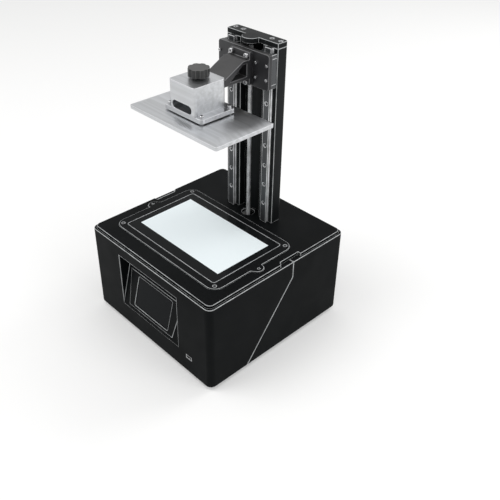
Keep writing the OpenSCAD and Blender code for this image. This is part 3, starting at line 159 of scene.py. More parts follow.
def buildSettledDust():
    # Dust on what faces up, and the smudges of hands everywhere
    tree, start, end = startTree("ShaderNodeTree", "settledDust",
        [("Dust Amount", number, 0.1), ("Smudge Scale", number, 14.0)],
        [("Dust", number), ("Smudge", number)])
    spot = objectSpot(tree)
    normal = add(tree, "ShaderNodeNewGeometry").outputs["Normal"]
    rise = add(tree, "ShaderNodeSeparateXYZ", [("Vector", normal)]).outputs["Z"]
    up = add(tree, "ShaderNodeMapRange",
        [("Value", rise), ("From Min", 0.55), ("From Max", 1.0)])
    patch = noise(tree, spot, 42.0, 6.0, rough=0.7)
    lying = reckon(tree, "MULTIPLY", up.outputs[0], patch)
    dust = reckon(tree, "MULTIPLY", lying, start.outputs["Dust Amount"])
    smudge = noise(tree, spot, start.outputs["Smudge Scale"], 5.0, swirl=0.8)
    tree.links.new(dust, end.inputs["Dust"])
    tree.links.new(smudge, end.inputs["Smudge"])
    return tree


mouldGrain = buildMouldGrain()
toolLines = buildToolLines()
edgeWearHighlight = buildEdgeWearHighlight()
settledDust = buildSettledDust()
print("shader groups ready")


# Finishes, one for each material slot of the part

def startMaterial(name):
    material = bpy.data.materials.new(name)
    material.use_nodes = True
    tree = material.node_tree
    return material, tree, tree.nodes["Principled BSDF"]


def useGroup(tree, group, values):
    return add(tree, "ShaderNodeGroup", values.items(), node_tree=group)


def spread(tree, value, low, high):
    # Noise stays mostly between 0.3 and 0.7, which becomes low to high
    return add(tree, "ShaderNodeMapRange", [("Value", value), ("From Min", 0.3),
        ("From Max", 0.7), ("To Min", low), ("To Max", high)]).outputs[0]


def blendColour(tree, share, first, second):
    # Sockets 0, 6 and 7 of the Mix node are its share and its two colours
    first, second = (tone if isinstance(tone, bpy.types.NodeSocket) else (*tone, 1.0)
                     for tone in (first, second))
    return add(tree, "ShaderNodeMix", [(0, share), (6, first), (7, second)],
        data_type="RGBA").outputs[2]


dustTone = (0.42, 0.41, 0.39)


def makeFinish(name, dark, light, wornAndHighlit, rough, metal=0.0, grain=1400.0, lines=None,
               stretch=(1, 1, 0.02), depth=0.00004, wearAndHighlight=0.6, dust=0.12, coat=0.0,
               specular=0.5):
    # The colour drifts between dark and light, and faces that carry edge take the pale edge
    # tone, partly wear and mostly a painted highlight. rough is the range of roughness. The
    # surface has tool lines or a moulded grain, depth metres deep
    material, tree, shader = startMaterial(name)
    marks = useGroup(tree, settledDust, {"Dust Amount": dust})
    edgeWearLight = useGroup(tree, edgeWearHighlight, {"Amount": wearAndHighlight})
    if lines:
        surface = useGroup(tree, toolLines, {"Line Scale": lines, "Stretch": stretch})
        tone = surface.outputs["Streak"]
    else:
        surface = useGroup(tree, mouldGrain, {"Grain Scale": grain})
        tone = surface.outputs["Drift"]
    body = blendColour(tree, spread(tree, tone, 0.0, 1.0), dark, light)
    # Painted highlight, with some wear: faces that carry edge take the pale edge tone
    edgeWornAndLit = blendColour(tree, edgeWearLight.outputs["Wear And Highlight"], body, wornAndHighlit)
    dusted = blendColour(tree, marks.outputs["Dust"], edgeWornAndLit, dustTone)
    tree.links.new(dusted, shader.inputs["Base Color"])
    tree.links.new(spread(tree, marks.outputs["Smudge"], *rough), shader.inputs["Roughness"])
    bump = add(tree, "ShaderNodeBump", [("Height", surface.outputs["Height"]),
        ("Distance", depth), ("Strength", 0.5)])
    tree.links.new(bump.outputs[0], shader.inputs["Normal"])
    shader.inputs["Metallic"].default_value = metal
    shader.inputs["Coat Weight"].default_value = coat
    shader.inputs["Specular IOR Level"].default_value = specular
    return material


# A painted highlight: the pale tone that draws the edges of black parts as light lines
paintedEdgeHighlight = (0.5, 0.515, 0.52)
plasticBlack = dict(dark=(0.003, 0.0036, 0.0039), light=(0.0052, 0.006, 0.0064),
    wornAndHighlit=paintedEdgeHighlight, wearAndHighlight=1.0, dust=0.003)
# In the black finishes and rail_steel, the pale edge tone is a painted highlight that draws
# the edges as light lines
finishes = {
    "housing_black": dict(plasticBlack, rough=(0.5, 0.6), grain=1300.0, specular=0.045),
    "deck_black": dict(plasticBlack, light=(0.0052, 0.006, 0.0065),
        rough=(0.48, 0.58), grain=1700.0, specular=0.045),
    "frame_black": dict(dark=(0.0038, 0.0044, 0.0048), light=(0.0062, 0.007, 0.0075),
        wornAndHighlit=(0.52, 0.535, 0.54), rough=(0.44, 0.54), grain=2200.0, wearAndHighlight=1.0, dust=0.003,
        specular=0.055),
    "tower_black": dict(dark=(0.0055, 0.0065, 0.007), light=(0.009, 0.0102, 0.011),
        wornAndHighlit=paintedEdgeHighlight, rough=(0.42, 0.52), lines=1500.0, metal=0.1, wearAndHighlight=1.0, dust=0.01,
        specular=0.1),
    "machined_aluminium": dict(dark=(0.5, 0.51, 0.52), light=(0.62, 0.63, 0.65),
        wornAndHighlit=(0.78, 0.78, 0.8), rough=(0.3, 0.42), lines=1600.0, stretch=(0.03, 1, 1),
        metal=1.0, dust=0.04),
    "carriage_black": dict(dark=(0.026, 0.026, 0.028), light=(0.04, 0.04, 0.043),
        wornAndHighlit=(0.3, 0.3, 0.31), rough=(0.32, 0.42), grain=2000.0, metal=0.35),
    "rail_steel": dict(dark=(0.05, 0.053, 0.056), light=(0.08, 0.084, 0.088),
        wornAndHighlit=(0.86, 0.87, 0.88), rough=(0.32, 0.42), lines=2600.0, metal=0.6, wearAndHighlight=1.0,
        dust=0.01),
    "screw_steel": dict(dark=(0.42, 0.42, 0.43), light=(0.55, 0.55, 0.56),
        wornAndHighlit=(0.7, 0.7, 0.7), rough=(0.22, 0.34), grain=2600.0, metal=1.0, dust=0.03),
    "dark_steel": dict(dark=(0.05, 0.05, 0.053), light=(0.08, 0.08, 0.085),
        wornAndHighlit=(0.3, 0.3, 0.3), rough=(0.3, 0.42), grain=2400.0, metal=0.8, dust=0.03),
    "brass_nut": dict(dark=(0.5, 0.33, 0.1), light=(0.62, 0.43, 0.15),
        wornAndHighlit=(0.8, 0.62, 0.3), rough=(0.24, 0.34), lines=1800.0, stretch=(1, 1, 0.05),
        metal=1.0, dust=0.02),
    "seal_black": dict(dark=(0.012, 0.012, 0.012), light=(0.02, 0.02, 0.02),
        wornAndHighlit=(0.05, 0.05, 0.05), rough=(0.6, 0.75), grain=1500.0),
    "foot_rubber": dict(dark=(0.011, 0.011, 0.011), light=(0.02, 0.02, 0.02),
        wornAndHighlit=(0.07, 0.07, 0.07), rough=(0.65, 0.8), grain=900.0, depth=0.00008),
    "inlet_black": dict(plasticBlack, rough=(0.46, 0.56), grain=1800.0, specular=0.055),
    "fan_black": dict(dark=(0.013, 0.013, 0.013), light=(0.02, 0.02, 0.02),
        wornAndHighlit=(0.1, 0.1, 0.1), rough=(0.34, 0.46), grain=1600.0),
    "board_green": dict(dark=(0.012, 0.07, 0.03), light=(0.018, 0.1, 0.045),
        wornAndHighlit=(0.1, 0.25, 0.14), rough=(0.24, 0.36), grain=700.0, coat=0.3),
    "board_white": dict(dark=(0.7, 0.7, 0.68), light=(0.8, 0.8, 0.78),
        wornAndHighlit=(0.85, 0.85, 0.85), rough=(0.3, 0.4), grain=900.0),
    "sheet_steel": dict(dark=(0.52, 0.53, 0.54), light=(0.62, 0.63, 0.64),
        wornAndHighlit=(0.75, 0.75, 0.75), rough=(0.34, 0.48), lines=900.0, stretch=(0.05, 1, 1),
        metal=1.0, dust=0.05),
    "knob_black": dict(dark=(0.012, 0.012, 0.012), light=(0.02, 0.02, 0.02),
        wornAndHighlit=(0.16, 0.16, 0.16), rough=(0.42, 0.55), grain=1100.0, depth=0.00006),
}
materials = {name: makeFinish(name, **look) for name, look in finishes.items()}

glassLook = {"edge": (0.6, 0.62, 0.63), "dust": (0.4, 0.4, 0.4), "dusty": 0.01,
             "marks": 9.0, "dulled": 0.07, "specular": 0.06}
glasses = {
    "screen_glass": {"tint": (0.006, 0.007, 0.0075), "rough": 0.1},
    "touch_glass": {"tint": (0.006, 0.007, 0.008), "rough": 0.08},
}
filmLook = {"pale": (0.785, 0.85, 0.868), "deep": (0.775, 0.84, 0.858), "glow": 0.08,
            "marks": 6.0, "grain": 3000.0, "depth": 0.00001, "rough": (0.34, 0.4),
            "specular": 0.1}
lensLook = {"deep": (0.8, 0.85, 0.9), "pale": (0.9, 0.94, 0.97), "grain": 500.0,
            "rough": (0.03, 0.09), "clear": 0.9, "bends": 1.49}


def makeScreenGlass(name, tint, rough):
    # Black-backed glass with a few wiping marks, and a pale edge that is partly the ground
    # glass and partly a painted highlight
    look = glassLook
    material, tree, shader = startMaterial(name)
    marks = useGroup(tree, settledDust,
        {"Dust Amount": look["dusty"], "Smudge Scale": look["marks"]})
    edgeWearLight = useGroup(tree, edgeWearHighlight, {"Amount": 1.0})
    # Pale tone where edge is set: partly the real ground edge, partly a painted highlight
    groundAndHighlit = blendColour(tree, edgeWearLight.outputs["Wear And Highlight"], tint, look["edge"])
    shade = blendColour(tree, marks.outputs["Dust"], groundAndHighlit, look["dust"])
    gloss = spread(tree, marks.outputs["Smudge"], rough, rough + look["dulled"])
    tree.links.new(shade, shader.inputs["Base Color"])
    tree.links.new(gloss, shader.inputs["Roughness"])
    shader.inputs["Specular IOR Level"].default_value = look["specular"]
    return material


def makeScreenFilm(name):
    # The pale film over the screen glows a little: painted light that keeps its shaded parts
    # pale
    look = filmLook
    material, tree, shader = startMaterial(name)
    marks = useGroup(tree, settledDust, {"Dust Amount": 0.0, "Smudge Scale": look["marks"]})
    dots = useGroup(tree, mouldGrain, {"Grain Scale": look["grain"]})
    tone = blendColour(tree, spread(tree, marks.outputs["Smudge"], 0.0, 1.0),
        look["deep"], look["pale"])
    gloss = spread(tree, dots.outputs["Drift"], *look["rough"])
    bump = add(tree, "ShaderNodeBump",
        [("Height", dots.outputs["Height"]), ("Distance", look["depth"])])
    tree.links.new(tone, shader.inputs["Base Color"])
    # Painted light: the film glows in its own tone
    tree.links.new(tone, shader.inputs["Emission Color"])
    tree.links.new(gloss, shader.inputs["Roughness"])
    tree.links.new(bump.outputs[0], shader.inputs["Normal"])
    shader.inputs["Emission Strength"].default_value = look["glow"]
    shader.inputs["Specular IOR Level"].default_value = look["specular"]
    return material


def makeClearLens(name):
    look = lensLook
    material, tree, shader = startMaterial(name)
    dots = useGroup(tree, mouldGrain, {"Grain Scale": look["grain"]})
    tone = blendColour(tree, spread(tree, dots.outputs["Drift"], 0.0, 1.0),
        look["deep"], look["pale"])
    gloss = spread(tree, dots.outputs["Drift"], *look["rough"])
    tree.links.new(tone, shader.inputs["Base Color"])
    tree.links.new(gloss, shader.inputs["Roughness"])
    shader.inputs["Transmission Weight"].default_value = look["clear"]
    shader.inputs["IOR"].default_value = look["bends"]
    return material


for name, look in glasses.items():
    materials[name] = makeScreenGlass(name, **look)
materials["screen_film"] = makeScreenFilm("screen_film")
materials["lens_clear"] = makeClearLens("lens_clear")
for name, piece in nodes.items():
    piece.data.materials.clear()
    piece.data.materials.append(materials[slotOf[name]])
print("materials ready:", len(materials))


# Pieces that keep the shape of their solid, with rounded edges

edgeRounding = {  # radius of the rounding in metres
    "rear_housing": 0.001, "front_fascia": 0.001, "deck_plate": 0.0008,
    "lcd_frame": 0.0005, "touch_bezel": 0.0006, "lcd_glass": 0.0004,
    "left_pillar": 0.0008, "right_pillar": 0.0008, "tower_back_plate": 0.0003,
    "left_rail": 0.0006, "right_rail": 0.0006, "tower_cap": 0.0007,
    "left_block": 0.0004, "right_block": 0.0004, "carriage_plate": 0.0006,
    "platform_arm": 0.0008, "platform_bracket": 0.0007, "build_plate": 0.0005,
    "clamp_knob": 0.0004, "exhaust_guard": 0.0003, "power_inlet": 0.0004,
    "power_rocker": 0.0004, "rubber_feet": 0.0008, "limit_sensor": 0.0003,
    "lead_nut": 0.0003, "usb_socket": 0.00015, "sensor_flag": 0.0002,
    "shaft_coupler": 0.00015,
}
edgeRules = {
    "level": 0.4,  # degrees, below which neighbouring faces are joined first
    "sharp": 32,  # degrees, above which an edge is rounded
    "crease": 46,  # degrees, above which the shading breaks
    "room": 2.1,  # radii that two roundings need side by side
}
faceBands = {  # painted highlight band round the largest face that looks one way, from low to high
    "lcd_frame": {"width": 0.00025, "towards": (0, 0, 1)},
    "front_fascia": {"width": 0.0004, "towards": (0, -1, 0),
                     "low": (-0.09, -1, 0.04), "high": (0.09, 0, 0.17)},
    "touch_bezel": {"width": 0.0003, "towards": (0, -1, 0)},
    "left_rail": {"width": 0.0005, "towards": (0, -1, 0)},
    "right_rail": {"width": 0.0005, "towards": (0, -1, 0)},
}
notchBand = {  # painted highlight strip on the deck's top, along the left notch
    "node": "deck_plate", "low": (-0.158, -0.021), "high": (-0.156, 0.024),
    "above": 0.1895,  # height just below the deck's top
}
footBands = {  # painted highlight band just above the deck
    "left_rail": 0.0011, "right_rail": 0.0011,
    "left_pillar": 0.0011, "right_pillar": 0.0011,
}
ballTracks = {  # where the grooves lie, as shares of the rail's depth from its front
    "nodes": ("left_rail", "right_rail"), "low": 0.22, "high": 0.6,
}
facing = {  # shares of a face's normal that point the asked way
    "side": 0.3,  # leans towards it
    "towards": 0.8,  # looks that way
    "up": 0.999,  # level
    "same": 0.9999,  # parallel
}


def isBetween(spot, low, high):
    return all(a < b < c for a, b, c in zip(low, spot, high))


# Painted highlight: a pale band round the largest face that looks one way
def paintFaceHighlight(work, layer, width, towards, low=(-1, -1, -1), high=(1, 1, 1)):
    found = [face for face in work.faces
             if face.normal.dot(Vector(towards)) > facing["towards"]]
    largest = max(found, key=lambda face: face.calc_area())
    way, spot = largest.normal.copy(), largest.calc_center_median()
    level = [face for face in found if face.normal.dot(way) > facing["same"]
             and abs((face.calc_center_median() - spot).dot(way)) < levelGap]
    made = bmesh.ops.inset_region(work, faces=level, thickness=width, use_even_offset=True,
        use_boundary=True)
    for face in made["faces"]:
        if isBetween(face.calc_center_median(), low, high):
            face[layer] = 1.0


def paintNotchHighlight(work, layer):
    # Painted highlight: cuts a strip out of the deck's flat top without moving anything, and
    # paints it pale
    low, high = notchBand["low"], notchBand["high"]
    cuts = [((high[0], 0, 0), (1, 0, 0)),
            ((0, low[1], 0), (0, 1, 0)),
            ((0, high[1], 0), (0, 1, 0))]
    for spot, way in cuts:
        flat = [face for face in work.faces if face.normal.z > facing["up"]
                and face.calc_center_median().z > notchBand["above"]]
        edges = {edge for face in flat for edge in face.edges}
        verts = {vert for face in flat for vert in face.verts}
        bmesh.ops.bisect_plane(work, geom=[*verts, *edges, *flat], dist=cutGap,
            plane_co=spot, plane_no=way)
    for face in work.faces:
        middle = face.calc_center_median()
        if face.normal.z > facing["up"] and isBetween(middle, low, high):
            face[layer] = 1.0


# Painted highlight: a pale band round the foot of a piece, just above the deck
def paintFootHighlight(work, layer, width):
    foot = min(vert.co.z for vert in work.verts)
    level = max(foot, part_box("deck_plate")[1][2]) + width
    bmesh.ops.bisect_plane(work, geom=[*work.verts, *work.edges, *work.faces], dist=cutGap,
        plane_co=(0.0, 0.0, level), plane_no=(0.0, 0.0, 1.0))
    for face in work.faces:
        if face.calc_center_median().z < level:
            face[layer] = 1.0


def paintTrackHighlight(work, layer):
    # Painted highlight: pale strips along the grooves on both sides of a rail
    low, high = ballTracks["low"], ballTracks["high"]
    front = min(vert.co.y for vert in work.verts)
    depth = max(vert.co.y for vert in work.verts) - front
    for face in work.faces:
        share = (face.calc_center_median().y - front) / depth
        if abs(face.normal.x) > facing["side"] and low < share < high:
            face[layer] = 1.0


def isCramped(edge, sharp, radius):
    # An inner corner at the foot of a step too low to hold two roundings
    if edge.is_convex:
        return False
    middle = (edge.verts[0].co + edge.verts[1].co) / 2
    for face in edge.link_faces:
        for other in face.edges:
            if other in sharp and not set(edge.verts) & set(other.verts):
                start, end = (vert.co for vert in other.verts)
                spot, share = intersect_point_line(middle, start, end)
                spot = start.lerp(end, min(1.0, max(0.0, share)))
                if (spot - middle).length < edgeRules["room"] * radius:
                    return True
    return False


def weldedCopy(name):
    work = bmesh.new()
    work.from_mesh(nodes[name].data)
    bmesh.ops.remove_doubles(work, verts=work.verts, dist=weldGap)
    return work


def roundedCopy(name, radius):
    work = weldedCopy(name)
    bmesh.ops.dissolve_limit(work, angle_limit=math.radians(edgeRules["level"]),
        verts=work.verts, edges=work.edges, delimit={"MATERIAL"})
    turn = math.radians(edgeRules["sharp"])
    sharp = {edge for edge in work.edges
             if len(edge.link_faces) == 2 and edge.calc_face_angle(0.0) > turn}
    chosen = [edge for edge in work.edges
              if edge in sharp and not isCramped(edge, sharp, radius)]
    layer = work.faces.layers.float.new("edge")
    made = bmesh.ops.bevel(work, geom=chosen, offset=radius, offset_type="OFFSET",
        segments=2, profile=0.5, affect="EDGES", clamp_overlap=False, loop_slide=False)
    # The rounded faces carry edge and take the pale edge tone: painted highlight, with some
    # wear
    for face in made["faces"]:
        face[layer] = 1.0
    # The pale bands and strips painted here are painted highlights
    if name in faceBands:
        paintFaceHighlight(work, layer, **faceBands[name])
    if name == notchBand["node"]:
        paintNotchHighlight(work, layer)
    if name in footBands:
        paintFootHighlight(work, layer, footBands[name])
    if name in ballTracks["nodes"]:
        paintTrackHighlight(work, layer)
    mesh = bpy.data.meshes.new(name + "Shape")
    work.to_mesh(mesh)
    work.free()
    mesh.shade_smooth()
    mesh.set_sharp_from_angle(angle=math.radians(edgeRules["crease"]))
    mesh.materials.append(materials[slotOf[name]])
    piece = bpy.data.objects.new(name + "Piece", mesh)
    bpy.context.scene.collection.objects.link(piece)
    even = piece.modifiers.new("evenNormals", "WEIGHTED_NORMAL")
    even.keep_sharp = True
    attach(piece, bodyOf[name])
    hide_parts(name)


for name, radius in edgeRounding.items():
    roundedCopy(name, radius)
print("rounded pieces ready:", len(edgeRounding))


# Geometry Nodes: a set of screws on points, and a thread with several starts

def markEdge(tree, mesh, faces):
    # The attribute edge, as the rounded pieces carry it, paints faces in the pale edge tone:
    # partly wear, mostly a painted highlight
    return add(tree, "GeometryNodeStoreNamedAttribute", [("Geometry", mesh),
        ("Selection", faces), ("Name", "edge"), ("Value", 1.0)],
        data_type="FLOAT", domain="FACE").outputs["Geometry"]


def extrude(tree, mesh, faces, distance):
    return add(tree, "GeometryNodeExtrudeMesh", [("Mesh", mesh), ("Selection", faces),
        ("Offset Scale", distance), ("Individual", False)], mode="FACES").outputs


def movePoints(tree, mesh, spot, faces=True):
    return add(tree, "GeometryNodeSetPosition", [("Geometry", mesh), ("Selection", faces),
        ("Position", spot)]).outputs[0]


def cylinder(tree, sides, radius, length, middle):
    # A closed cylinder round the Z axis, with its middle at that height
    bar = add(tree, "GeometryNodeMeshCylinder", [("Vertices", sides), ("Radius", radius),
        ("Depth", length)], fill_type="NGON").outputs["Mesh"]
    return add(tree, "GeometryNodeTransform", [("Geometry", bar),
        ("Translation", vector(tree, 0.0, 0.0, middle))]).outputs[0]


def join(tree, pieces):
    whole = add(tree, "GeometryNodeJoinGeometry")
    for piece in pieces:
        tree.links.new(piece, whole.inputs[0])
    return whole.outputs[0]


def finishTree(tree, start, end, placed):
    real = add(tree, "GeometryNodeRealizeInstances", [("Geometry", placed)])
    dressed = add(tree, "GeometryNodeSetMaterial", [("Geometry", real.outputs[0]),
        ("Material", start.outputs["Material"])])
    tree.links.new(dressed.outputs[0], end.inputs[0])


screwSides = {"head": 36, "shank": 16, "collar": 24}


def buildScrewSet():
    # A socket screw on each point, its head's underside there, aimed along its attribute out
    tree, start, end = startTree("GeometryNodeTree", "screwSet", [
        ("Geometry", geometry, None),
        ("Head Radius", number, 0.003), ("Foot Radius", number, 0.003),
        ("Head Height", number, 0.003), ("Chamfer", number, 0.0003),
        ("Knurl", number, 0.0), ("Socket Radius", number, 0.0014),
        ("Socket Depth", number, 0.0014), ("Shank Radius", number, 0.0015),
        ("Shank Length", number, 0.01), ("Collar Radius", number, 0.0),
        ("Collar Place", number, 0.0), ("Collar Height", number, 0.0),
        ("Has Collar", "NodeSocketBool", False), ("Spin Seed", "NodeSocketInt", 0),
        ("Material", "NodeSocketMaterial", None)], [("Geometry", geometry)])
    given = start.outputs
    body = reckon(tree, "SUBTRACT", given["Head Height"], given["Chamfer"])
    head = add(tree, "GeometryNodeMeshCone", [("Vertices", screwSides["head"]),
        ("Radius Top", given["Head Radius"]), ("Radius Bottom", given["Foot Radius"]),
        ("Depth", body)], fill_type="NGON").outputs
    # Knurled side: every other vertex stands in
    index = add(tree, "GeometryNodeInputIndex").outputs[0]
    odd = reckon(tree, "MODULO", index, 2.0)
    shrink = reckon(tree, "SUBTRACT", 1.0, reckon(tree, "MULTIPLY", odd, given["Knurl"]))
    spot = add(tree, "GeometryNodeInputPosition").outputs[0]
    squeezed = add(tree, "ShaderNodeVectorMath",
        [(0, spot), (1, vector(tree, shrink, shrink, 1.0))], operation="MULTIPLY").outputs[0]
    knurled = movePoints(tree, head["Mesh"], squeezed)
    # Chamfer round the top
    raised = extrude(tree, knurled, head["Top"], given["Chamfer"])
    inset = reckon(tree, "SUBTRACT", given["Head Radius"], given["Chamfer"])
    share = reckon(tree, "DIVIDE", inset, given["Head Radius"])
    topped = add(tree, "GeometryNodeScaleElements", [("Geometry", raised["Mesh"]),
        ("Selection", raised["Top"]), ("Scale", share)], domain="FACE").outputs[0]
    # The chamfer carries edge: pale edge tone, painted highlight with some wear
    rim = markEdge(tree, topped, raised["Side"])
    # Hexagonal socket: a ring inside the top is drawn in to a hexagon and pushed down
    inner = extrude(tree, rim, raised["Top"], 0.0)
    parts = add(tree, "ShaderNodeSeparateXYZ", [("Vector", spot)]).outputs
    angle = reckon(tree, "ARCTAN2", parts["Y"], parts["X"])
    sixth = reckon(tree, "FLOORED_MODULO", angle, math.pi / 3)
    sector = reckon(tree, "SUBTRACT", sixth, math.pi / 6)
    flat = reckon(tree, "MULTIPLY", given["Socket Radius"], math.cos(math.pi / 6))
    reach = reckon(tree, "DIVIDE", flat, reckon(tree, "COSINE", sector))
    hexagon = vector(tree, reckon(tree, "MULTIPLY", reach, reckon(tree, "COSINE", angle)),
        reckon(tree, "MULTIPLY", reach, reckon(tree, "SINE", angle)), given["Head Height"])
    drawn = movePoints(tree, inner["Mesh"], hexagon, inner["Top"])
    drop = reckon(tree, "MULTIPLY", given["Socket Depth"], -1.0)
    sunk = extrude(tree, drawn, inner["Top"], drop)
    # Shank below the head, and a collar on it where the set has one
    half = reckon(tree, "MULTIPLY", given["Shank Length"], -0.5)
    shank = cylinder(tree, screwSides["shank"], given["Shank Radius"],
        given["Shank Length"], half)
    collar = cylinder(tree, screwSides["collar"], given["Collar Radius"],
        given["Collar Height"], given["Collar Place"])
    ring = add(tree, "GeometryNodeSwitch", [("Switch", given["Has Collar"]),
        ("True", collar)], input_type="GEOMETRY").outputs[0]
    screw = join(tree, (ring, shank, sunk["Mesh"]))
    # Each screw stops at its own angle
    out = add(tree, "GeometryNodeInputNamedAttribute", [("Name", "out")],
        data_type="FLOAT_VECTOR").outputs["Attribute"]
    aimed = add(tree, "FunctionNodeAlignRotationToVector", [("Vector", out)],
        axis="Z").outputs[0]
    turn = add(tree, "FunctionNodeRandomValue", [(2, 0.0), (3, math.pi / 3),
        ("Seed", given["Spin Seed"])], data_type="FLOAT").outputs[1]
    spin = add(tree, "FunctionNodeAxisAngleToRotation", [("Axis", (0.0, 0.0, 1.0)),
        ("Angle", turn)]).outputs[0]
    turned = add(tree, "FunctionNodeRotateRotation", [("Rotation", aimed),
        ("Rotate By", spin)], rotation_space="LOCAL").outputs[0]
    placed = add(tree, "GeometryNodeInstanceOnPoints", [("Points", given["Geometry"]),
        ("Instance", screw), ("Rotation", turned)]).outputs[0]
    finishTree(tree, start, end, placed)
    return tree


threadLook = {
    "pitch": 0.002, "lead": 0.008, "depth": 0.0009,
    "flat": 0.36,  # share of a pitch that the root takes, and as much for the crest
    "plainFoot": 0.001, "journal": 0.012,  # plain ends below and above the thread
    "journalGap": 0.00005,  # how much less than the thread's the journal's radius is
    "sides": 28, "barSides": 40,
    "tuck": 0.0001,  # how far the thread's cut ends lie inside the bar
    "crease": 22,  # degrees
}


def buildThread():
    # A helical sheet round a plain bar. Lead over pitch gives its number of starts
    tree, start, end = startTree("GeometryNodeTree", "leadThread", [
        ("Geometry", geometry, None),
        ("Crest Radius", number, 0.004), ("Root Radius", number, 0.0031),
        ("Pitch", number, 0.002), ("Lead", number, 0.008),
        ("Low", number, 0.0), ("High", number, 0.1),
        ("Foot", number, 0.0), ("Top", number, 0.1), ("Journal", number, 0.0038),
        ("Material", "NodeSocketMaterial", None)], [("Geometry", geometry)])
    given = start.outputs
    reach = reckon(tree, "SUBTRACT", given["High"], given["Low"])
    span = reckon(tree, "ADD", reach, given["Lead"])
    turns = reckon(tree, "CEIL", reckon(tree, "DIVIDE", span, given["Pitch"]))
    rows = reckon(tree, "ADD", reckon(tree, "MULTIPLY", turns, 4.0), 1.0)
    count = add(tree, "FunctionNodeFloatToInt", [(0, rows)], rounding_mode="ROUND").outputs[0]
    sheet = add(tree, "GeometryNodeMeshGrid", [("Size X", 1.0), ("Size Y", 1.0),
        ("Vertices X", threadLook["sides"] + 1), ("Vertices Y", count)]).outputs["Mesh"]
    onSheet = add(tree, "GeometryNodeInputPosition").outputs[0]
    parts = add(tree, "ShaderNodeSeparateXYZ", [("Vector", onSheet)]).outputs
    share = reckon(tree, "ADD", parts["X"], 0.5)
    row = reckon(tree, "ROUND", reckon(tree, "MULTIPLY",
        reckon(tree, "ADD", parts["Y"], 0.5), reckon(tree, "SUBTRACT", rows, 1.0)))
    # Four rows to a pitch: both ends of the root, and half a pitch on, both of the crest
    phase = reckon(tree, "FLOORED_MODULO", row, 4.0)
    onCrest = reckon(tree, "FLOOR", reckon(tree, "DIVIDE", phase, 2.0))
    past = reckon(tree, "MULTIPLY", reckon(tree, "FLOORED_MODULO", phase, 2.0),
        threadLook["flat"])
    within = reckon(tree, "MULTIPLY_ADD", onCrest, 0.5, past)
    pitches = reckon(tree, "FLOOR", reckon(tree, "DIVIDE", row, 4.0))
    climb = reckon(tree, "MULTIPLY", given["Pitch"], reckon(tree, "ADD", pitches, within))
    foot = reckon(tree, "SUBTRACT", given["Low"], given["Lead"])
    rise = reckon(tree, "ADD", reckon(tree, "ADD", foot, climb),
        reckon(tree, "MULTIPLY", share, given["Lead"]))
    # What would climb past an end is flattened there, inside the bar
    height = reckon(tree, "MINIMUM", reckon(tree, "MAXIMUM", rise, given["Low"]),
        given["High"])
    kept = reckon(tree, "COMPARE", height, rise, weldGap / 2)
    proud = reckon(tree, "SUBTRACT", given["Crest Radius"], given["Root Radius"])
    swell = reckon(tree, "MULTIPLY", reckon(tree, "MULTIPLY", onCrest, kept), proud)
    tucked = reckon(tree, "MULTIPLY", reckon(tree, "SUBTRACT", 1.0, kept),
        -threadLook["tuck"])
    radius = reckon(tree, "ADD", reckon(tree, "ADD", given["Root Radius"], swell), tucked)
    angle = reckon(tree, "MULTIPLY", share, 2 * math.pi)
    spot = vector(tree, reckon(tree, "MULTIPLY", radius, reckon(tree, "COSINE", angle)),
        reckon(tree, "MULTIPLY", radius, reckon(tree, "SINE", angle)), height)
    wound = movePoints(tree, sheet, spot)
    merged = add(tree, "GeometryNodeMergeByDistance", [("Geometry", wound),
        ("Distance", weldGap)]).outputs[0]
    # The whole thread carries edge, so all of it takes the pale edge tone: painted highlight
    closed = markEdge(tree, merged, True)
    # Bar inside the thread, and the smooth journal above it
    pieces = []
    for radiusOf, low, high in (("Root Radius", "Foot", "Top"), ("Journal", "High", "Top")):
        length = reckon(tree, "SUBTRACT", given[high], given[low])
        middle = reckon(tree, "MULTIPLY", reckon(tree, "ADD", given[high], given[low]), 0.5)
        pieces.append(cylinder(tree, threadLook["barSides"], given[radiusOf], length, middle))
    whole = join(tree, (*pieces, closed))
    placed = add(tree, "GeometryNodeInstanceOnPoints", [("Points", given["Geometry"]),
        ("Instance", whole)]).outputs[0]
    finishTree(tree, start, end, placed)
    return tree


def grow(name, points, tree, values, body, replaced, finish, crease, outs=()):
    # Runs the tree on the points and keeps the result as a plain mesh. The directions in
    # outs become the points' attribute out
    seed = bpy.data.meshes.new(name + "Points")
    seed.from_pydata(points, [], [])
    if outs:
        attribute = seed.attributes.new("out", "FLOAT_VECTOR", "POINT")
        for i, out in enumerate(outs):
            attribute.data[i].vector = out
    holder = bpy.data.objects.new(name, seed)
    bpy.context.scene.collection.objects.link(holder)
    modifier = holder.modifiers.new(name, "NODES")
    modifier.node_group = tree
    identifiers = {item.name: item.identifier for item in tree.interface.items_tree
                   if item.item_type == "SOCKET" and item.in_out == "INPUT"}
    for label, value in values.items():
        modifier[identifiers[label]] = value
    modifier[identifiers["Material"]] = materials[finish]
    graph = bpy.context.evaluated_depsgraph_get()
    mesh = bpy.data.meshes.new_from_object(holder.evaluated_get(graph))
    holder.modifiers.clear()
    holder.data = mesh
    mesh.shade_smooth()
    mesh.set_sharp_from_angle(angle=math.radians(crease))
    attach(holder, body)
    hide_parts(replaced)


def solidsOf(name):
    # The separate solids of a node, each as a list of its corners
    work = weldedCopy(name)
    seen, solids = set(), []
    for first in work.verts:
        if first in seen:
            continue
        seen.add(first)
        solid, queue = [], [first]
        while queue:
            vert = queue.pop()
            solid.append(vert.co.copy())
            for edge in vert.link_edges:
                other = edge.other_vert(vert)
                if other not in seen:
                    seen.add(other)
                    queue.append(other)
        solids.append(solid)
    work.free()
    return solids


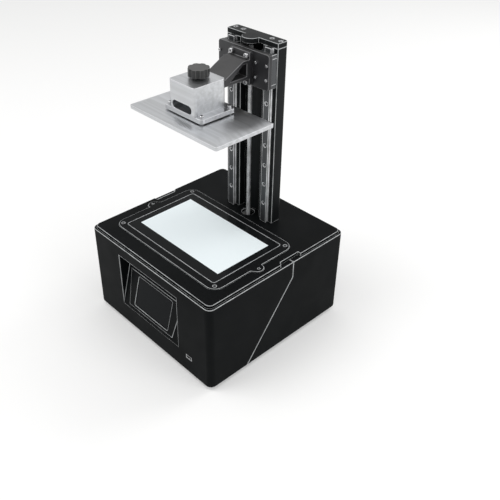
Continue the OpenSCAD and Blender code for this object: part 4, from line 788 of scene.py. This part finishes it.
def measureScrew(points, axis):
    # Head end, direction and sizes of one screw solid that lies along the axis
    low = [min(p[i] for p in points) for i in range(3)]
    high = [max(p[i] for p in points) for i in range(3)]
    middle = Vector([(low[i] + high[i]) / 2 for i in range(3)])

    def radiusAt(level):
        return max((Vector([p[i] - middle[i] for i in range(3) if i != axis] + [0.0])).length
                   for p in points if abs(p[axis] - level) < levelGap)

    lowRadius, highRadius = radiusAt(low[axis]), radiusAt(high[axis])
    sign = 1 if highRadius > lowRadius else -1
    out = Vector()
    out[axis] = sign
    top = middle.copy()
    top[axis] = high[axis] if sign > 0 else low[axis]
    return {"out": out, "top": top, "head": max(lowRadius, highRadius),
            "shank": min(lowRadius, highRadius), "length": high[axis] - low[axis]}


screwSet = buildScrewSet()
leadThread = buildThread()

# Height, chamfer, socket and its depth in shank radii, foot and knurl in head radii
screwKinds = {
    "cap": {"height": 2.0, "foot": 1.0, "chamfer": 0.22, "knurl": 0.022,
            "socket": 0.95, "deep": 1.0},
    "flat": {"height": 1.0, "foot": 0.5, "chamfer": 0.12, "knurl": 0.0,
             "socket": 0.8, "deep": 0.6},
    "low": {"height": 0.267, "foot": 1.27, "chamfer": 0.05, "knurl": 0.0,
            "socket": 0.8, "deep": 0.2},
}
screwSets = {
    "railScrews": {"node": "rail_screws", "axis": 1, "kind": "cap", "seed": 3},
    "carriageScrews": {"node": "carriage_screws", "axis": 1, "kind": "cap", "seed": 5},
    "armScrews": {"node": "arm_screws", "axis": 1, "kind": "cap", "seed": 8},
    "capScrews": {"node": "cap_screws", "axis": 2, "kind": "cap", "seed": 11},
    "levellingScrews": {"node": "levelling_screws", "axis": 2, "kind": "cap", "seed": 2,
                        "collar": {"radius": 0.004, "height": 0.002, "below": 0.009}},
    "nutScrews": {"node": "nut_screws", "axis": 2, "kind": "cap", "seed": 7},
    "deckScrews": {"node": "deck_screws", "axis": 2, "kind": "cap", "seed": 4},
    "frameScrews": {"node": "lcd_frame_screws", "axis": 2, "kind": "flat", "seed": 9},
    "guardScrews": {"node": "guard_screws", "axis": 1, "kind": "low", "seed": 10},
    "housingScrews": {"node": "housing_screws", "axis": 2, "kind": "flat", "seed": 12},
}
screwCrease = 28  # degrees


def makeScrews(name, node, axis, kind, seed, collar=None):
    # Each size of screw in the node becomes one piece
    look = screwKinds[kind]
    sizes = {}
    for solid in solidsOf(node):
        screw = measureScrew(solid, axis)
        sizes.setdefault(round(screw["shank"], 4), []).append(screw)
    for shank, found in sorted(sizes.items()):
        head = found[0]["head"]
        height = look["height"] * shank
        values = {
            "Head Radius": head, "Foot Radius": head * look["foot"], "Head Height": height,
            "Chamfer": look["chamfer"] * shank, "Knurl": look["knurl"],
            "Socket Radius": look["socket"] * shank, "Socket Depth": look["deep"] * shank,
            "Shank Radius": shank, "Shank Length": found[0]["length"] - height,
            "Spin Seed": seed,
        }
        if collar:
            values.update({"Has Collar": True, "Collar Radius": collar["radius"],
                "Collar Height": collar["height"], "Collar Place": -collar["below"]})
        seats = [screw["top"] - screw["out"] * height for screw in found]
        label = name if len(sizes) == 1 else f"{name}M{round(shank * 2000)}"
        grow(label, seats, screwSet, values, bodyOf[node], node, slotOf[node], screwCrease,
            outs=[screw["out"] for screw in found])


for name, look in screwSets.items():
    makeScrews(name, **look)
print("screws ready:", len(screwSets), "sets")


def makeLeadScrew():
    low, high = (Vector(corner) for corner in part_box("lead_screw"))
    radius = (high.x - low.x) / 2
    middle = (low + high) / 2
    values = {
        "Crest Radius": radius, "Root Radius": radius - threadLook["depth"],
        "Pitch": threadLook["pitch"], "Lead": threadLook["lead"],
        "Low": low.z + threadLook["plainFoot"], "High": high.z - threadLook["journal"],
        "Foot": low.z, "Top": high.z, "Journal": radius - threadLook["journalGap"],
    }
    grow("leadScrewThread", [(middle.x, middle.y, 0.0)], leadThread, values,
        bodyOf["lead_screw"], "lead_screw", slotOf["lead_screw"], threadLook["crease"])


makeLeadScrew()
print("lead screw ready")


# Stage, lights and camera

stageLook = {
    "floor": (0.84, 0.84, 0.835), "glow": 0.16,
    "rings": (1.0, 4.0, 30.0), "sides": 96,  # the floor is a disc in rings, in metres
    "ambient": 0.68, "backdrop": 0.86,  # the world as it lights, and as it looks
}
lampAim = (0.0, 0.0, 0.25)
lamps = {  # square lamps: side in metres, power in watts
    "keyLamp": {"spot": (-0.9, -1.5, 2.4), "side": 1.6, "power": 25.0},
    "sideLamp": {"spot": (2.2, 0.4, 1.5), "side": 1.4, "power": 14.0},
    "rimLamp": {"spot": (0.6, 2.2, 1.6), "side": 1.2, "power": 15.0},
}
cameraLook = {
    "lens": 48.54, "sensor": 36.0,  # mm
    "place": (0.7948, -0.703, 0.9025),  # metres
    "azimuth": 47.18,  # degrees to the right of the front
    "elevation": 33.54,  # degrees above level
    "shift": (0.04, -0.054),  # shares of the frame's width
    "farthest": 50.0,  # metres
}


def seenShare(tree):
    # 1 for what is seen, straight or in a mirror or glass, and 0 for light on the printer
    path = add(tree, "ShaderNodeLightPath").outputs
    either = reckon(tree, "MAXIMUM", path["Is Camera Ray"], path["Is Glossy Ray"])
    return reckon(tree, "MAXIMUM", either, path["Is Transmission Ray"])


def makeStage():
    material, tree, shader = startMaterial("paleStage")
    shader.inputs["Base Color"].default_value = (*stageLook["floor"], 1.0)
    shader.inputs["Roughness"].default_value = 0.9
    shader.inputs["Specular IOR Level"].default_value = 0.0
    shader.inputs["Emission Color"].default_value = (1.0, 1.0, 1.0, 1.0)
    glow = reckon(tree, "MULTIPLY", seenShare(tree), stageLook["glow"])
    tree.links.new(glow, shader.inputs["Emission Strength"])
    sides = stageLook["sides"]
    points = [(0.0, 0.0, 0.0)]
    faces = []
    for ring, radius in enumerate(stageLook["rings"]):
        for i in range(sides):
            turn = 2 * math.pi * i / sides
            points.append((radius * math.cos(turn), radius * math.sin(turn), 0.0))
            j = (i + 1) % sides
            outer = 1 + ring * sides
            if ring == 0:
                faces.append((0, outer + i, outer + j))
            else:
                inner = outer - sides
                faces.append((inner + i, outer + i, outer + j, inner + j))
    mesh = bpy.data.meshes.new("stage")
    mesh.from_pydata(points, [], faces)
    mesh.materials.append(material)
    floor = bpy.data.objects.new("stage", mesh)
    bpy.context.scene.collection.objects.link(floor)


def addLamp(name, spot, side, power):
    light = bpy.data.lights.new(name, "AREA")
    light.shape = "SQUARE"
    light.size = side
    light.energy = power
    lamp = bpy.data.objects.new(name, light)
    lamp.location = spot
    ahead = Vector(lampAim) - Vector(spot)
    lamp.rotation_euler = ahead.to_track_quat("-Z", "Y").to_euler()
    bpy.context.scene.collection.objects.link(lamp)


def makeCamera():
    view = bpy.data.cameras.new("camera")
    view.sensor_width = cameraLook["sensor"]
    view.lens = cameraLook["lens"]
    view.shift_x, view.shift_y = cameraLook["shift"]
    view.clip_end = cameraLook["farthest"]
    camera = bpy.data.objects.new("camera", view)
    camera.location = cameraLook["place"]
    turn = math.radians(cameraLook["azimuth"])
    tilt = math.radians(cameraLook["elevation"])
    level = math.cos(tilt)
    ahead = Vector((-math.sin(turn) * level, math.cos(turn) * level, -math.sin(tilt)))
    camera.rotation_euler = ahead.to_track_quat("-Z", "Y").to_euler()
    bpy.context.scene.collection.objects.link(camera)
    bpy.context.scene.camera = camera


def makeWorld():
    # Plain soft light all round, and a paler backdrop where it is only looked at
    world = bpy.context.scene.world or bpy.data.worlds.new("studio")
    bpy.context.scene.world = world
    world.use_nodes = True
    tree = world.node_tree
    light = tree.nodes["Background"]
    light.inputs["Color"].default_value = (1.0, 1.0, 1.0, 1.0)
    ambient = stageLook["ambient"]
    strength = reckon(tree, "MULTIPLY_ADD", seenShare(tree),
        stageLook["backdrop"] - ambient, ambient)
    tree.links.new(strength, light.inputs["Strength"])


makeCamera()
makeStage()
for name, look in lamps.items():
    addLamp(name, **look)
makeWorld()
bpy.context.scene.view_settings.view_transform = "Standard"
print("stage, lamps and camera ready")
